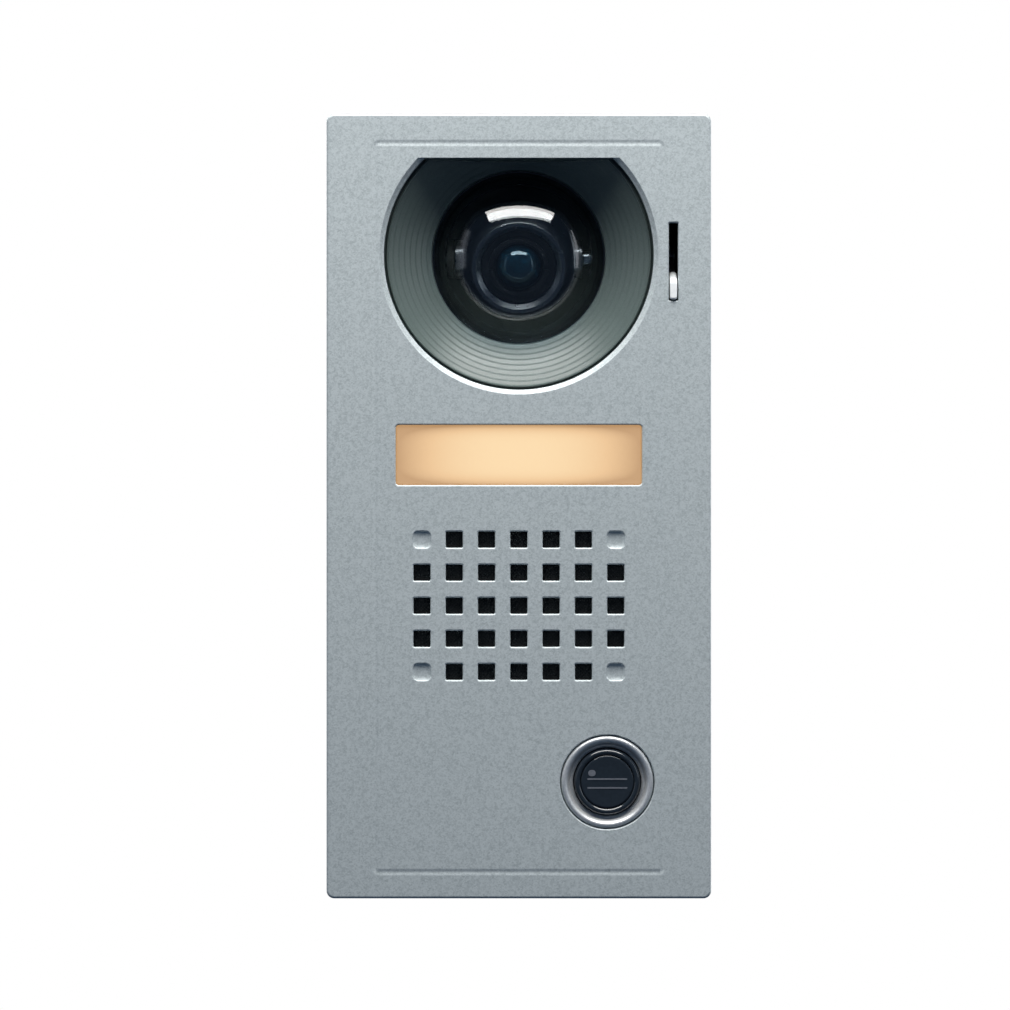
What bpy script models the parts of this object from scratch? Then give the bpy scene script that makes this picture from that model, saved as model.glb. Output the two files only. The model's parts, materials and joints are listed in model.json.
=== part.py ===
"""Wall-mounted door station: a tilting dome camera, a lit nameplate, a speaker grille and a call button.

The origin is the middle of the wall plate's back face. The wall is the plane y = 0, the front faces -Y,
+Z is up and +X is to the right of someone who looks at the front. All lengths are in metres.
"""

import math

import bmesh
import bpy
from mathutils import Matrix, Vector

MM = 0.001

# Clearances and sizes shared by many pieces
GAP = 0.3 * MM  # between two pieces that touch
BITE = 0.5 * MM  # how far joined shapes run into each other
OVERRUN = 1 * MM  # how far a cut runs past the face it opens
ROUND = 32  # sides of a large round piece
SMALL_ROUND = 12  # sides of a screw, boss or hole

# Housing
WIDTH = 100 * MM
HEIGHT = 204 * MM
DEPTH = 41 * MM
CORNER_RADIUS = 2 * MM
EDGE_RADIUS = 1.3 * MM
SIDE_WALL = 3 * MM
FRONT_WALL = 2.6 * MM
BOSS_RADIUS = 3.2 * MM
SCREW_HOLE_DEPTH = 9 * MM
PEG_RADIUS = 1.4 * MM
PEG_LENGTH = 2.6 * MM

# Groove that frames the front panel
GROOVE_INSET_X = 12.65 * MM
GROOVE_INSET_TOP = 7.6 * MM
GROOVE_INSET_BOTTOM = 6.9 * MM
GROOVE_WIDTH = 2.4 * MM
GROOVE_DEPTH = 0.7 * MM
GROOVE_CORNER = 2 * MM

# Places of the front's features, as distances down from the feature above
CAMERA_BELOW_TOP = 36.6 * MM
WINDOW_BELOW_CAMERA = 52.1 * MM
SPEAKER_TO_REFLECTOR = 2.2 * MM
BUTTON_ABOVE_BOTTOM = 30.3 * MM
BUTTON_X = 23 * MM

# Camera opening and stepped bezel
OPENING_RADIUS = 35.1 * MM
OPENING_FLAT = 25.2 * MM  # from the centre up to the flat top
OPENING_CHAMFER = 1.6 * MM
CONE_MARGIN = 1.8 * MM  # flat ring between the opening's edge and the first step
CONE_STEPS = 8
CONE_DEPTH = 10.7 * MM
BEZEL_FLANGE = 3.4 * MM  # how far the flange reaches past the opening
BEZEL_FLANGE_THICKNESS = 2.4 * MM
BEZEL_LIP = 1 * MM
BEZEL_RIM = 2.4 * MM

# Dome window
DOME_RADIUS = 22.4 * MM
DOME_WALL = 1.8 * MM
DOME_FLANGE_WIDTH = 2.1 * MM
DOME_FLANGE_THICKNESS = 1.2 * MM
DOME_TO_BALL = 1.7 * MM
DOME_GASKET_THICKNESS = 1.3 * MM

# Camera ball, its bearings and the tilt lever
BALL_RADIUS = 15.3 * MM
BALL_WALL = 1.8 * MM
BALL_FRONT = 9.5 * MM  # the ball is cut flat this far in front of its centre
BALL_REAR = 4 * MM
BALL_BOSS = 1.3 * MM
BALL_BOSS_RADIUS = 5 * MM
TILT_REST = math.radians(17.5)  # the lens looks down by this much at rest, and turns up as far
SHAFT_RADIUS = 2.5 * MM
SHAFT_SQUARE = 3 * MM
SHAFT_TO_PLATE = 0.9 * MM
CRADLE_PLATE = 1.6 * MM
CRADLE_ARM = 3 * MM
CRADLE_TO_LEVER = 1.4 * MM
CRADLE_UP = 29.5 * MM
CRADLE_DOWN = 32 * MM
CRADLE_SCREW_INSET = 4 * MM
CRADLE_SCREW_UP = 26 * MM
CRADLE_SCREW_DOWN = 28 * MM
WASHER_THICKNESS = 1.5 * MM
LEVER_LEAN = math.radians(4)  # the lever leans down from the lens's axis
LEVER_THICKNESS = 1.6 * MM
LEVER_TO_BEZEL = 0.9 * MM
LEVER_HUB_RADIUS = 4.5 * MM
LEVER_ARM_HEIGHT = 4 * MM
KNOB_THICKNESS = 1.9 * MM
KNOB_HEIGHT = 4.8 * MM
KNOB_PROUD = 2.5 * MM  # past the face, when the lever points straight out
KNOB_LENGTH = 6.7 * MM
KNOB_WALL = 0.4 * MM
TONGUE_THICKNESS = 0.6 * MM
SLOT_CLEARANCE = 0.25 * MM
SLOT_END_CLEARANCE = 0.35 * MM

# Lens and image sensor
LENS_HOLE_RADIUS = 9.9 * MM
LENS_HOLE_FRONT = 8 * MM
LENS_PLATE_REAR = 5.6 * MM
LENS_RADIUS = 5.8 * MM
LENS_BULGE = 3.9 * MM
BARREL_RADIUS = 7 * MM
BARREL_BORE = 4 * MM
BARREL_REAR = 3 * MM
BARREL_FLANGE = 1.8 * MM
RING_WIDTH = 1.7 * MM
RING_THICKNESS = 0.9 * MM
SENSOR_SIDE = 7 * MM
SENSOR_THICKNESS = 0.7 * MM
SENSOR_BOARD_SIDE = 16 * MM
SENSOR_BOARD_THICKNESS = 1.2 * MM
CABLE_WIDTH = 8 * MM
CABLE_THICKNESS = 0.4 * MM
CABLE_BEHIND_BALL = 0.75 * MM  # from the ball's rear rim to the cable's middle

# Nameplate window and its backlight
WINDOW_WIDTH = 64 * MM
WINDOW_HEIGHT = 15.6 * MM
WINDOW_CORNER = 0.8 * MM
WINDOW_RECESS = 0.6 * MM
PANE_FLANGE = 2.2 * MM
PANE_FLANGE_THICKNESS = 1 * MM
CARD_THICKNESS = 0.3 * MM
GUIDE_THICKNESS = 3 * MM
REFLECTOR_WALL = 1.7 * MM
REFLECTOR_DEPTH = 8.1 * MM
LIGHT_BOARD_THICKNESS = 1.2 * MM
LED_SIDE = 3.5 * MM
LED_THICKNESS = 1.2 * MM
LED_COUNT = 2
LED_SPACING = 32 * MM

# Speaker grille and speaker
GRILLE_COLUMNS = 7
GRILLE_ROWS = 5
GRILLE_PITCH_X = 8.4 * MM
GRILLE_PITCH_Z = 8.6 * MM
HOLE_WIDTH = 4.4 * MM
HOLE_HEIGHT = 4.2 * MM
DIMPLE_DEPTH = 0.8 * MM
SCREEN_MARGIN = 2.5 * MM
SCREEN_THICKNESS = 0.4 * MM
SPEAKER_RADIUS = 25 * MM
SPEAKER_RIM = 2.4 * MM
SPEAKER_GASKET_THICKNESS = 1.2 * MM
BASKET_THICKNESS = 0.8 * MM
BASKET_DEPTH = 8.4 * MM
BASKET_STEP = 2 * MM  # straight wall under the rim, where the cone's edge is glued
BASKET_BACK_RADIUS = 13 * MM
BASKET_WINDOW_RADIUS = 3.2 * MM
CONE_THICKNESS = 0.4 * MM
CONE_THROAT_DEPTH = 4.6 * MM
DUST_CAP_HEIGHT = 2.6 * MM
CONE_ROLL_WIDTH = 4 * MM  # the folded edge that lets the cone move
CONE_ROLL_HEIGHT = 0.5 * MM
COIL_RADIUS = 7.6 * MM
COIL_CLEARANCE = 0.6 * MM
MAGNET_RADIUS = 15 * MM
MAGNET_THICKNESS = 5.9 * MM
YOKE_THICKNESS = 1.5 * MM
CLAMP_THICKNESS = 1 * MM
CLAMP_WIDTH = 9 * MM
CLAMP_SCREW_FROM_RIM = 10 * MM

# Call button
BUTTON_RADIUS = 8.6 * MM
BUTTON_REVEAL = 1.1 * MM  # dark gap round the button
BUTTON_TRAVEL = 1.4 * MM
BUTTON_RECESS = 0.2 * MM
CAP_WALL = 1.6 * MM
CAP_DEPTH = 4.8 * MM
CAP_FLANGE = 0.7 * MM  # past the reveal, so that the ring keeps the button in
CAP_FLANGE_THICKNESS = 1.4 * MM
ICON_RADIUS = 6.8 * MM
ICON_THICKNESS = 0.8 * MM
ICON_SUNK = 0.1 * MM
STEM_RADIUS = 2 * MM
RING_SLOPE_WIDTH = 2 * MM
RING_EDGE = 0.3 * MM
RING_PROUD = 0.2 * MM
RING_SLOPE_DEPTH = 1.9 * MM
RING_FLANGE_DEPTH = 2 * MM
RING_TUBE_WALL = 1 * MM
RING_TUBE_REAR = 9 * MM  # behind the face
NUT_THICKNESS = 2.5 * MM
NUT_WIDTH = 3 * MM
SPRING_RADIUS = 5.6 * MM
SPRING_WIRE = 0.6 * MM
SPRING_TURNS = 4
SWITCH_SIDE = 6 * MM
SWITCH_HEIGHT = 3.2 * MM
SWITCH_PLUNGER_HEIGHT = 1.2 * MM
SWITCH_PLUNGER_RADIUS = 1.7 * MM
SWITCH_BOARD_BEHIND_FACE = 13.4 * MM
SWITCH_BOARD_THICKNESS = 1.2 * MM
SWITCH_BOARD_HEIGHT = 18 * MM
SWITCH_POST_FROM_NUT = 3 * MM
SWITCH_POST_RADIUS = 2.2 * MM
SWITCH_PEG_RADIUS = 1.2 * MM

# Main board and what is on it
BOARD_THICKNESS = 1.6 * MM
BOARD_TO_COVER = 5 * MM
BOARD_TO_WALL = 2 * MM  # from the housing's side wall
BOARD_BELOW_CRADLE = 3.4 * MM
BOARD_ABOVE_BOTTOM = 14 * MM
BOARD_SCREW_INSET = 3.5 * MM
PROCESSOR_SIDE = 14 * MM
PROCESSOR_THICKNESS = 1.4 * MM
TRANSFORMER_SIZE = (14 * MM, 10 * MM, 12 * MM)
TERMINAL_SIZE = (28 * MM, 7.7 * MM, 12 * MM)
TERMINAL_WELL_RADIUS = 2.7 * MM
TERMINAL_WELL_DEPTH = 3 * MM
TERMINAL_SPACING = 10 * MM
WIRE_HOLE = 3.5 * MM
TERMINAL_SCREW_LENGTH = 2 * MM

# Rear cover, gasket and wall bracket
COVER_BEHIND = 5 * MM  # from the wall to the cover's back
COVER_THICKNESS = 2 * MM
COVER_SCREW_INSET = 6.2 * MM
COVER_OPENING_MARGIN = 3 * MM
GASKET_THICKNESS = 0.9 * MM
GASKET_WIDTH = 2.2 * MM
GASKET_INSET = 0.5 * MM
BRACKET_THICKNESS = 1.5 * MM
BRACKET_INSET = 6 * MM
BRACKET_END_INSET = 7 * MM
BRACKET_CORNER = 3 * MM
ENTRY_WIDTH = 36 * MM
ENTRY_HEIGHT = 25 * MM
ENTRY_CENTRE_Z = -20.5 * MM
WALL_SLOT_WIDTH = 4 * MM
WALL_SLOT_LENGTH = 9 * MM
BOX_SLOT_Z = 41.65 * MM  # slots for the screws of a single wall box
CORNER_SLOT_INSET = 14 * MM
HOOK_X = 26 * MM
HOOK_WIDTH = 8 * MM
HOOK_BELOW_TOP = 12 * MM
HOOK_NIB = 2 * MM
HOOK_REACH = 8.8 * MM
TAB_WIDTH = 16 * MM
TAB_REACH = 12 * MM
TAB_ROOM = 2 * MM  # between the tab and the sides of the notch in the cover
TAB_SCREW_Y = 8 * MM

# Fasteners
SCREW_RADIUS = 1.2 * MM
SCREW_HEAD_RADIUS = 2.7 * MM
SCREW_HEAD_HEIGHT = 1.6 * MM
SCREW_LENGTH = 7 * MM
SECURITY_RADIUS = 1.6 * MM
SECURITY_HEAD_RADIUS = 3 * MM
SECURITY_HEAD_HEIGHT = 1.7 * MM
SECURITY_LENGTH = 9 * MM

# Microphone
MIC_X = -25 * MM
MIC_BEHIND_FACE = 11 * MM
MIC_RADIUS = 4.85 * MM
MIC_LENGTH = 5.2 * MM
MIC_PORT_RADIUS = 0.9 * MM
BOOT_WALL = 1.2 * MM

# Speaker lead
LEAD_RADIUS = 0.8 * MM

# Places worked out from the sizes above
FACE_Y = -DEPTH
INSIDE_Y = FACE_Y + FRONT_WALL
RIM_Y = -(GASKET_THICKNESS + GAP)
INNER_X = WIDTH / 2 - SIDE_WALL
INNER_Z = HEIGHT / 2 - SIDE_WALL
CAMERA_Z = HEIGHT / 2 - CAMERA_BELOW_TOP
WINDOW_Z = CAMERA_Z - WINDOW_BELOW_CAMERA
REFLECTOR_HALF_HEIGHT = WINDOW_HEIGHT / 2 + PANE_FLANGE + GAP + REFLECTOR_WALL
GRILLE_Z = WINDOW_Z - REFLECTOR_HALF_HEIGHT - SPEAKER_TO_REFLECTOR - SPEAKER_RADIUS
BUTTON_Z = BUTTON_ABOVE_BOTTOM - HEIGHT / 2

BEZEL_Y = INSIDE_Y + GAP
BEZEL_RADIUS = OPENING_RADIUS + BEZEL_FLANGE
LIP_Y = BEZEL_Y + CONE_DEPTH
DOME_SEAT_RADIUS = DOME_RADIUS + DOME_FLANGE_WIDTH + GAP
DOME_FLANGE_Y = LIP_Y + BEZEL_LIP + GAP
DOME_GASKET_Y = DOME_FLANGE_Y + DOME_FLANGE_THICKNESS + GAP
CRADLE_Y = DOME_GASKET_Y + DOME_GASKET_THICKNESS + GAP
PIVOT_Y = CRADLE_Y + CRADLE_PLATE + SHAFT_TO_PLATE + SHAFT_RADIUS
BALL_BOSS_X = BALL_RADIUS + BALL_BOSS
ARM_X = BALL_BOSS_X + WASHER_THICKNESS + 2 * GAP
CRADLE_HOLE_RADIUS = ARM_X + GAP  # leaves room for the ball's bosses and the washer
LEVER_X = BEZEL_RADIUS + LEVER_TO_BEZEL  # the lever's inner face
LEVER_MIDDLE_X = LEVER_X + LEVER_THICKNESS / 2
CRADLE_HALF_WIDTH = LEVER_X - CRADLE_TO_LEVER
CRADLE_SCREW_X = CRADLE_HALF_WIDTH - CRADLE_SCREW_INSET
PIVOT_TO_FACE = PIVOT_Y - FACE_Y
KNOB_TIP = PIVOT_TO_FACE + KNOB_PROUD
SLOT_DOWN = (
    PIVOT_TO_FACE * math.tan(TILT_REST + LEVER_LEAN)
    + KNOB_HEIGHT / 2 / math.cos(TILT_REST + LEVER_LEAN)
    + SLOT_END_CLEARANCE
)
SLOT_UP = (
    PIVOT_TO_FACE * math.tan(TILT_REST - LEVER_LEAN)
    + KNOB_HEIGHT / 2 / math.cos(TILT_REST - LEVER_LEAN)
    + SLOT_END_CLEARANCE
)

SPEAKER_RIM_Y = INSIDE_Y + GAP + SCREEN_THICKNESS + GAP + SPEAKER_GASKET_THICKNESS + GAP
BASKET_BACK_Y = SPEAKER_RIM_Y + BASKET_DEPTH
MAGNET_Y = BASKET_BACK_Y + BASKET_THICKNESS + GAP
YOKE_Y = MAGNET_Y + MAGNET_THICKNESS + GAP
CLAMP_Y = YOKE_Y + YOKE_THICKNESS + GAP
CLAMP_SCREW_X = SPEAKER_RADIUS + CLAMP_SCREW_FROM_RIM

BUTTON_HOLE_RADIUS = BUTTON_RADIUS + BUTTON_REVEAL
RING_RADIUS = BUTTON_HOLE_RADIUS + RING_SLOPE_WIDTH + RING_EDGE
TUBE_BORE = BUTTON_HOLE_RADIUS + CAP_FLANGE + GAP / 2
TUBE_RADIUS = TUBE_BORE + RING_TUBE_WALL
NUT_RADIUS = TUBE_RADIUS + NUT_WIDTH
SWITCH_BOARD_Y = FACE_Y + SWITCH_BOARD_BEHIND_FACE
SWITCH_POST_X = NUT_RADIUS + SWITCH_POST_FROM_NUT
CAP_Y = FACE_Y + BUTTON_RECESS
CAP_CEILING = ICON_THICKNESS + GAP + CAP_WALL

COVER_Y = -(COVER_BEHIND + COVER_THICKNESS)
BOARD_Y = COVER_Y - BOARD_TO_COVER - BOARD_THICKNESS
BOARD_REAR_Y = BOARD_Y + BOARD_THICKNESS
BOARD_HALF_WIDTH = INNER_X - BOARD_TO_WALL
BOARD_TOP = CAMERA_Z - CRADLE_DOWN - BOARD_BELOW_CRADLE
BOARD_BOTTOM = BOARD_ABOVE_BOTTOM - HEIGHT / 2
BRACKET_HALF_X = WIDTH / 2 - BRACKET_INSET
BRACKET_HALF_Z = HEIGHT / 2 - BRACKET_END_INSET
SECURITY_SEAT_Z = -HEIGHT / 2 + SECURITY_HEAD_HEIGHT + GAP
SECURITY_TIP_Z = SECURITY_SEAT_Z + SECURITY_LENGTH

COVER_SCREWS = [
    (side * (WIDTH / 2 - COVER_SCREW_INSET), end * (HEIGHT / 2 - COVER_SCREW_INSET))
    for end in (1, -1)
    for side in (-1, 1)
]
CRADLE_SCREWS = [
    (-CRADLE_SCREW_X, CAMERA_Z + CRADLE_SCREW_UP),
    (CRADLE_SCREW_X, CAMERA_Z - CRADLE_SCREW_DOWN),
]
CRADLE_PEGS = [
    (CRADLE_SCREW_X, CAMERA_Z + CRADLE_SCREW_UP),
    (-CRADLE_SCREW_X, CAMERA_Z - CRADLE_SCREW_DOWN),
]
BOARD_SCREWS = [
    (-BOARD_HALF_WIDTH + BOARD_SCREW_INSET, BOARD_TOP - BOARD_SCREW_INSET),
    (BOARD_HALF_WIDTH - BOARD_SCREW_INSET, BOARD_BOTTOM + BOARD_SCREW_INSET),
]
CLAMP_SCREWS = [(-CLAMP_SCREW_X, GRILLE_Z), (CLAMP_SCREW_X, GRILLE_Z)]
SWITCH_POSTS = [(BUTTON_X - SWITCH_POST_X, BUTTON_Z), (BUTTON_X + SWITCH_POST_X, BUTTON_Z)]


# ---------------------------------------------------------------- outlines


def circle(radius, sides=ROUND):
    turn = 2 * math.pi / sides
    return [(radius * math.cos(i * turn), radius * math.sin(i * turn)) for i in range(sides)]


def rectangle(half_a, half_b):
    return [(half_a, half_b), (-half_a, half_b), (-half_a, -half_b), (half_a, -half_b)]


def rounded_rectangle(half_a, half_b, radius, steps=3):
    points = []
    for quarter, (side, end) in enumerate(((1, 1), (-1, 1), (-1, -1), (1, -1))):
        for step in range(steps + 1):
            angle = math.pi / 2 * (quarter + step / steps)
            a = side * (half_a - radius) + radius * math.cos(angle)
            b = end * (half_b - radius) + radius * math.sin(angle)
            points.append((a, b))
    return points


def flat_topped_circle(radius, flat, steps=ROUND):
    """A circle whose top is cut off level, at the height flat above its centre."""
    start = math.asin(flat / radius)
    sweep = math.pi + 2 * start
    angles = [start - sweep * i / steps for i in range(steps + 1)]
    return [(radius * math.cos(a), radius * math.sin(a)) for a in angles]


# ---------------------------------------------------------------- solids


def place(a, b, along, centre, axis):
    """A point a and b across the axis and along it, from the centre (x, y, z)."""
    x, y, z = centre
    if axis == "X":
        return Vector((x + along, y + a, z + b))
    if axis == "Y":
        return Vector((x + a, y + along, z + b))
    return Vector((x + a, y + b, z + along))


def loft(shape, sections, centre=(0, 0, 0), axis="Y", closed=False):
    """Joins sections, each (outline, place along the axis), and caps the ends unless they meet."""
    rings = [
        [shape.verts.new(place(a, b, along, centre, axis)) for a, b in outline]
        for outline, along in sections
    ]
    pairs = list(zip(rings, rings[1:]))
    if closed:
        pairs.append((rings[-1], rings[0]))
    else:
        shape.faces.new(rings[0])
        shape.faces.new(rings[-1])
    for first, second in pairs:
        count = len(first)
        for i in range(count):
            j = (i + 1) % count
            shape.faces.new((first[i], first[j], second[j], second[i]))


def prism(shape, outline, low, high, centre=(0, 0, 0), axis="Y"):
    loft(shape, [(outline, low), (outline, high)], centre, axis)


def block(shape, low, high):
    """A box between two corners."""
    middle = [(a + b) / 2 for a, b in zip(low, high)]
    half = [(b - a) / 2 for a, b in zip(low, high)]
    prism(shape, rectangle(half[0], half[2]), -half[1], half[1], middle, "Y")


def turned(shape, profile, centre=(0, 0, 0), axis="Y", sides=ROUND):
    """Turns a closed profile of (radius, place along the axis) about the axis."""
    rings = []
    for radius, along in profile:
        if radius == 0:
            rings.append([shape.verts.new(place(0, 0, along, centre, axis))])
        else:
            ring = [place(a, b, along, centre, axis) for a, b in circle(radius, sides)]
            rings.append([shape.verts.new(point) for point in ring])
    for first, second in zip(rings, rings[1:] + rings[:1]):
        for i in range(sides):
            j = (i + 1) % sides
            corners = [first[i % len(first)], first[j % len(first)]]
            corners += [second[j % len(second)], second[i % len(second)]]
            unique = list(dict.fromkeys(corners))
            if len(unique) > 2:
                shape.faces.new(unique)


def cylinder(shape, radius, low, high, centre=(0, 0, 0), axis="Y", sides=SMALL_ROUND):
    prism(shape, circle(radius, sides), low, high, centre, axis)


def dome_arc(radius, middle, top, bottom, steps):
    """Points (radius, place) down a sphere centred at middle, between two places along its axis."""
    first = math.acos(max(-1, min(1, (middle - top) / radius)))
    last = math.acos((middle - bottom) / radius)
    angles = [first + (last - first) * i / steps for i in range(steps + 1)]
    points = [(radius * math.sin(a), middle - radius * math.cos(a)) for a in angles]
    if first < 1e-4:
        points[0] = (0, top)
    return points


def tube(shape, points, radius, sides):
    """A round bar that follows the points, with flat ends."""
    rings = []
    side = Vector((1, 0, 0))
    for i, point in enumerate(points):
        ahead = points[min(i + 1, len(points) - 1)]
        behind = points[max(i - 1, 0)]
        along = (ahead - behind).normalized()
        side = (side - along * side.dot(along)).normalized()
        up = along.cross(side)
        rings.append([shape.verts.new(point + side * a + up * b) for a, b in circle(radius, sides)])
    shape.faces.new(rings[0])
    shape.faces.new(rings[-1])
    for first, second in zip(rings, rings[1:]):
        for i in range(sides):
            j = (i + 1) % sides
            shape.faces.new((first[i], first[j], second[j], second[i]))


def smooth_route(points, steps):
    """Points on a smooth curve through the given ones."""
    ends = [points[0] * 2 - points[1]] + points + [points[-1] * 2 - points[-2]]
    route = []
    for a, b, c, d in zip(ends, ends[1:], ends[2:], ends[3:]):
        for i in range(steps):
            t = i / steps
            square = (a * 2 - b * 5 + c * 4 - d) * t**2
            cube = (b * 3 - a - c * 3 + d) * t**3
            route.append((b * 2 + (c - a) * t + square + cube) / 2)
    return route + [points[-1]]


# ---------------------------------------------------------------- objects


def plain_material(name, colour, roughness, metallic):
    material = bpy.data.materials.new(name)
    material.use_nodes = True
    shader = material.node_tree.nodes["Principled BSDF"]
    shader.inputs["Base Color"].default_value = (*colour, 1)
    shader.inputs["Roughness"].default_value = roughness
    shader.inputs["Metallic"].default_value = metallic
    return material


def as_mesh(name, shape):
    bmesh.ops.recalc_face_normals(shape, faces=shape.faces)
    mesh = bpy.data.meshes.new(name)
    shape.to_mesh(mesh)
    shape.free()
    return mesh


def piece(name, shape, colour, roughness, metallic=0.0, parent=None, location=(0, 0, 0)):
    """Adds a sub-part to the scene, with its own material."""
    mesh = as_mesh(name, shape)
    mesh.materials.append(plain_material(f"{name}_finish", colour, roughness, metallic))
    mesh.shade_smooth()
    mesh.set_sharp_from_angle(angle=math.radians(35))
    added = bpy.data.objects.new(name, mesh)
    added.location = location
    added.parent = parent
    bpy.context.scene.collection.objects.link(added)
    return added


def change(target, shape, operation):
    """Joins the shape to the target, or cuts it away, with a Boolean whose tool stays hidden."""
    label = f"{target.name}_{operation.lower()}_{len(target.modifiers)}"
    tool = bpy.data.objects.new(label, as_mesh(label, shape))
    tool.hide_render = True
    tool.display_type = "WIRE"
    tool.location = target.location
    tool.parent = target.parent
    bpy.context.scene.collection.objects.link(tool)
    boolean = target.modifiers.new(label, "BOOLEAN")
    boolean.operation = operation
    boolean.solver = "EXACT"
    boolean.object = tool


def cut(target, shape):
    change(target, shape, "DIFFERENCE")


def join(target, shape):
    change(target, shape, "UNION")


def axis_marker(name, location, tilt=0.0):
    """An empty on a joint's axis, which carries the pieces that move with it."""
    marker = bpy.data.objects.new(name, None)
    marker.location = location
    marker.rotation_euler = (tilt, 0, 0)
    bpy.context.scene.collection.objects.link(marker)
    return marker


# ---------------------------------------------------------------- housing


def add_bosses(housing):
    root = INSIDE_Y - BITE
    bosses = bmesh.new()
    for x, z in COVER_SCREWS:
        cylinder(bosses, BOSS_RADIUS + BITE, root, COVER_Y - GAP, (x, 0, z))
    for x, z in CRADLE_SCREWS:
        cylinder(bosses, BOSS_RADIUS, root, CRADLE_Y - GAP, (x, 0, z))
    for x, z in BOARD_SCREWS:
        cylinder(bosses, BOSS_RADIUS, root, BOARD_Y - GAP, (x, 0, z))
    for x, z in CLAMP_SCREWS:
        cylinder(bosses, BOSS_RADIUS, root, CLAMP_Y - GAP, (x, 0, z))
    pegged = [(x, z, BOSS_RADIUS, PEG_RADIUS, CRADLE_Y) for x, z in CRADLE_PEGS]
    pegged += [(x, z, SWITCH_POST_RADIUS, SWITCH_PEG_RADIUS, SWITCH_BOARD_Y) for x, z in SWITCH_POSTS]
    for x, z, radius, peg, seat in pegged:
        shoulder = seat - GAP
        profile = [(0, root), (radius, root), (radius, shoulder), (peg, shoulder)]
        profile += [(peg, shoulder + PEG_LENGTH), (0, shoulder + PEG_LENGTH)]
        turned(bosses, profile, (x, 0, z), sides=SMALL_ROUND)
    join(housing, bosses)


def cut_screw_holes(housing):
    holes = bmesh.new()
    seats = [(COVER_SCREWS, COVER_Y), (CRADLE_SCREWS, CRADLE_Y), (BOARD_SCREWS, BOARD_Y)]
    seats.append((CLAMP_SCREWS, CLAMP_Y))
    for places, seat in seats:
        for x, z in places:
            cylinder(holes, SCREW_RADIUS + GAP, seat - SCREW_HOLE_DEPTH, seat + OVERRUN, (x, 0, z))
    cut(housing, holes)


def cut_camera_opening(openings):
    outer = OPENING_RADIUS + OPENING_CHAMFER + OVERRUN
    sections = [
        (flat_topped_circle(outer, OPENING_FLAT), FACE_Y - OVERRUN),
        (flat_topped_circle(OPENING_RADIUS, OPENING_FLAT), FACE_Y + OPENING_CHAMFER),
        (flat_topped_circle(OPENING_RADIUS, OPENING_FLAT), INSIDE_Y + OVERRUN),
    ]
    loft(openings, sections, (0, 0, CAMERA_Z))


def grille_places():
    """The middle of each square hole, and whether it is one of the four blind corners."""
    for row in range(GRILLE_ROWS):
        for column in range(GRILLE_COLUMNS):
            x = (column - (GRILLE_COLUMNS - 1) / 2) * GRILLE_PITCH_X
            z = GRILLE_Z + (row - (GRILLE_ROWS - 1) / 2) * GRILLE_PITCH_Z
            blind = row in (0, GRILLE_ROWS - 1) and column in (0, GRILLE_COLUMNS - 1)
            yield x, z, blind


def cut_front_openings(housing):
    openings = bmesh.new()
    cut_camera_opening(openings)
    window = rounded_rectangle(WINDOW_WIDTH / 2, WINDOW_HEIGHT / 2, WINDOW_CORNER, 2)
    prism(openings, window, FACE_Y - OVERRUN, INSIDE_Y + OVERRUN, (0, 0, WINDOW_Z))
    for x, z, blind in grille_places():
        floor = FACE_Y + DIMPLE_DEPTH if blind else INSIDE_Y + OVERRUN
        hole = rectangle(HOLE_WIDTH / 2, HOLE_HEIGHT / 2)
        prism(openings, hole, FACE_Y - OVERRUN, floor, (x, 0, z))
    slot_half = KNOB_THICKNESS / 2 + SLOT_CLEARANCE
    low = (LEVER_MIDDLE_X - slot_half, FACE_Y - OVERRUN, CAMERA_Z - SLOT_DOWN)
    high = (LEVER_MIDDLE_X + slot_half, INSIDE_Y + OVERRUN, CAMERA_Z + SLOT_UP)
    block(openings, low, high)
    shelf = FACE_Y + RING_FLANGE_DEPTH
    ring_hole = [(0, FACE_Y - OVERRUN), (RING_RADIUS + GAP, FACE_Y - OVERRUN), (RING_RADIUS + GAP, shelf)]
    ring_hole += [(TUBE_RADIUS + GAP, shelf), (TUBE_RADIUS + GAP, INSIDE_Y + OVERRUN)]
    ring_hole.append((0, INSIDE_Y + OVERRUN))
    turned(openings, ring_hole, (BUTTON_X, 0, BUTTON_Z))
    cut(housing, openings)


def cut_bottom_holes(housing):
    holes = bmesh.new()
    bottom = -HEIGHT / 2
    head_seat = SECURITY_SEAT_Z + GAP
    inner = -INNER_Z + OVERRUN
    profile = [(0, bottom - OVERRUN), (SECURITY_HEAD_RADIUS + GAP, bottom - OVERRUN)]
    profile += [(SECURITY_HEAD_RADIUS + GAP, head_seat), (SECURITY_RADIUS + GAP, head_seat)]
    profile += [(SECURITY_RADIUS + GAP, inner), (0, inner)]
    turned(holes, profile, (0, -TAB_SCREW_Y, 0), "Z", SMALL_ROUND)
    mic = (MIC_X, FACE_Y + MIC_BEHIND_FACE, 0)
    cylinder(holes, MIC_PORT_RADIUS, bottom - OVERRUN, inner, mic, "Z")
    cut(housing, holes)


def cut_frame_groove(housing):
    """A shallow V that runs round the front panel."""
    top = HEIGHT / 2 - GROOVE_INSET_TOP
    bottom = GROOVE_INSET_BOTTOM - HEIGHT / 2
    half_x = WIDTH / 2 - GROOVE_INSET_X
    half_z = (top - bottom) / 2
    slope = GROOVE_DEPTH / (GROOVE_WIDTH / 2)
    reach = GROOVE_WIDTH / 2 + OVERRUN / slope
    sections = []
    for offset, y in ((reach, FACE_Y - OVERRUN), (0, FACE_Y + GROOVE_DEPTH), (-reach, FACE_Y - OVERRUN)):
        corner = GROOVE_CORNER + reach + offset
        sections.append((rounded_rectangle(half_x + offset, half_z + offset, corner), y))
    groove = bmesh.new()
    loft(groove, sections, (0, 0, (top + bottom) / 2), closed=True)
    cut(housing, groove)


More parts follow.
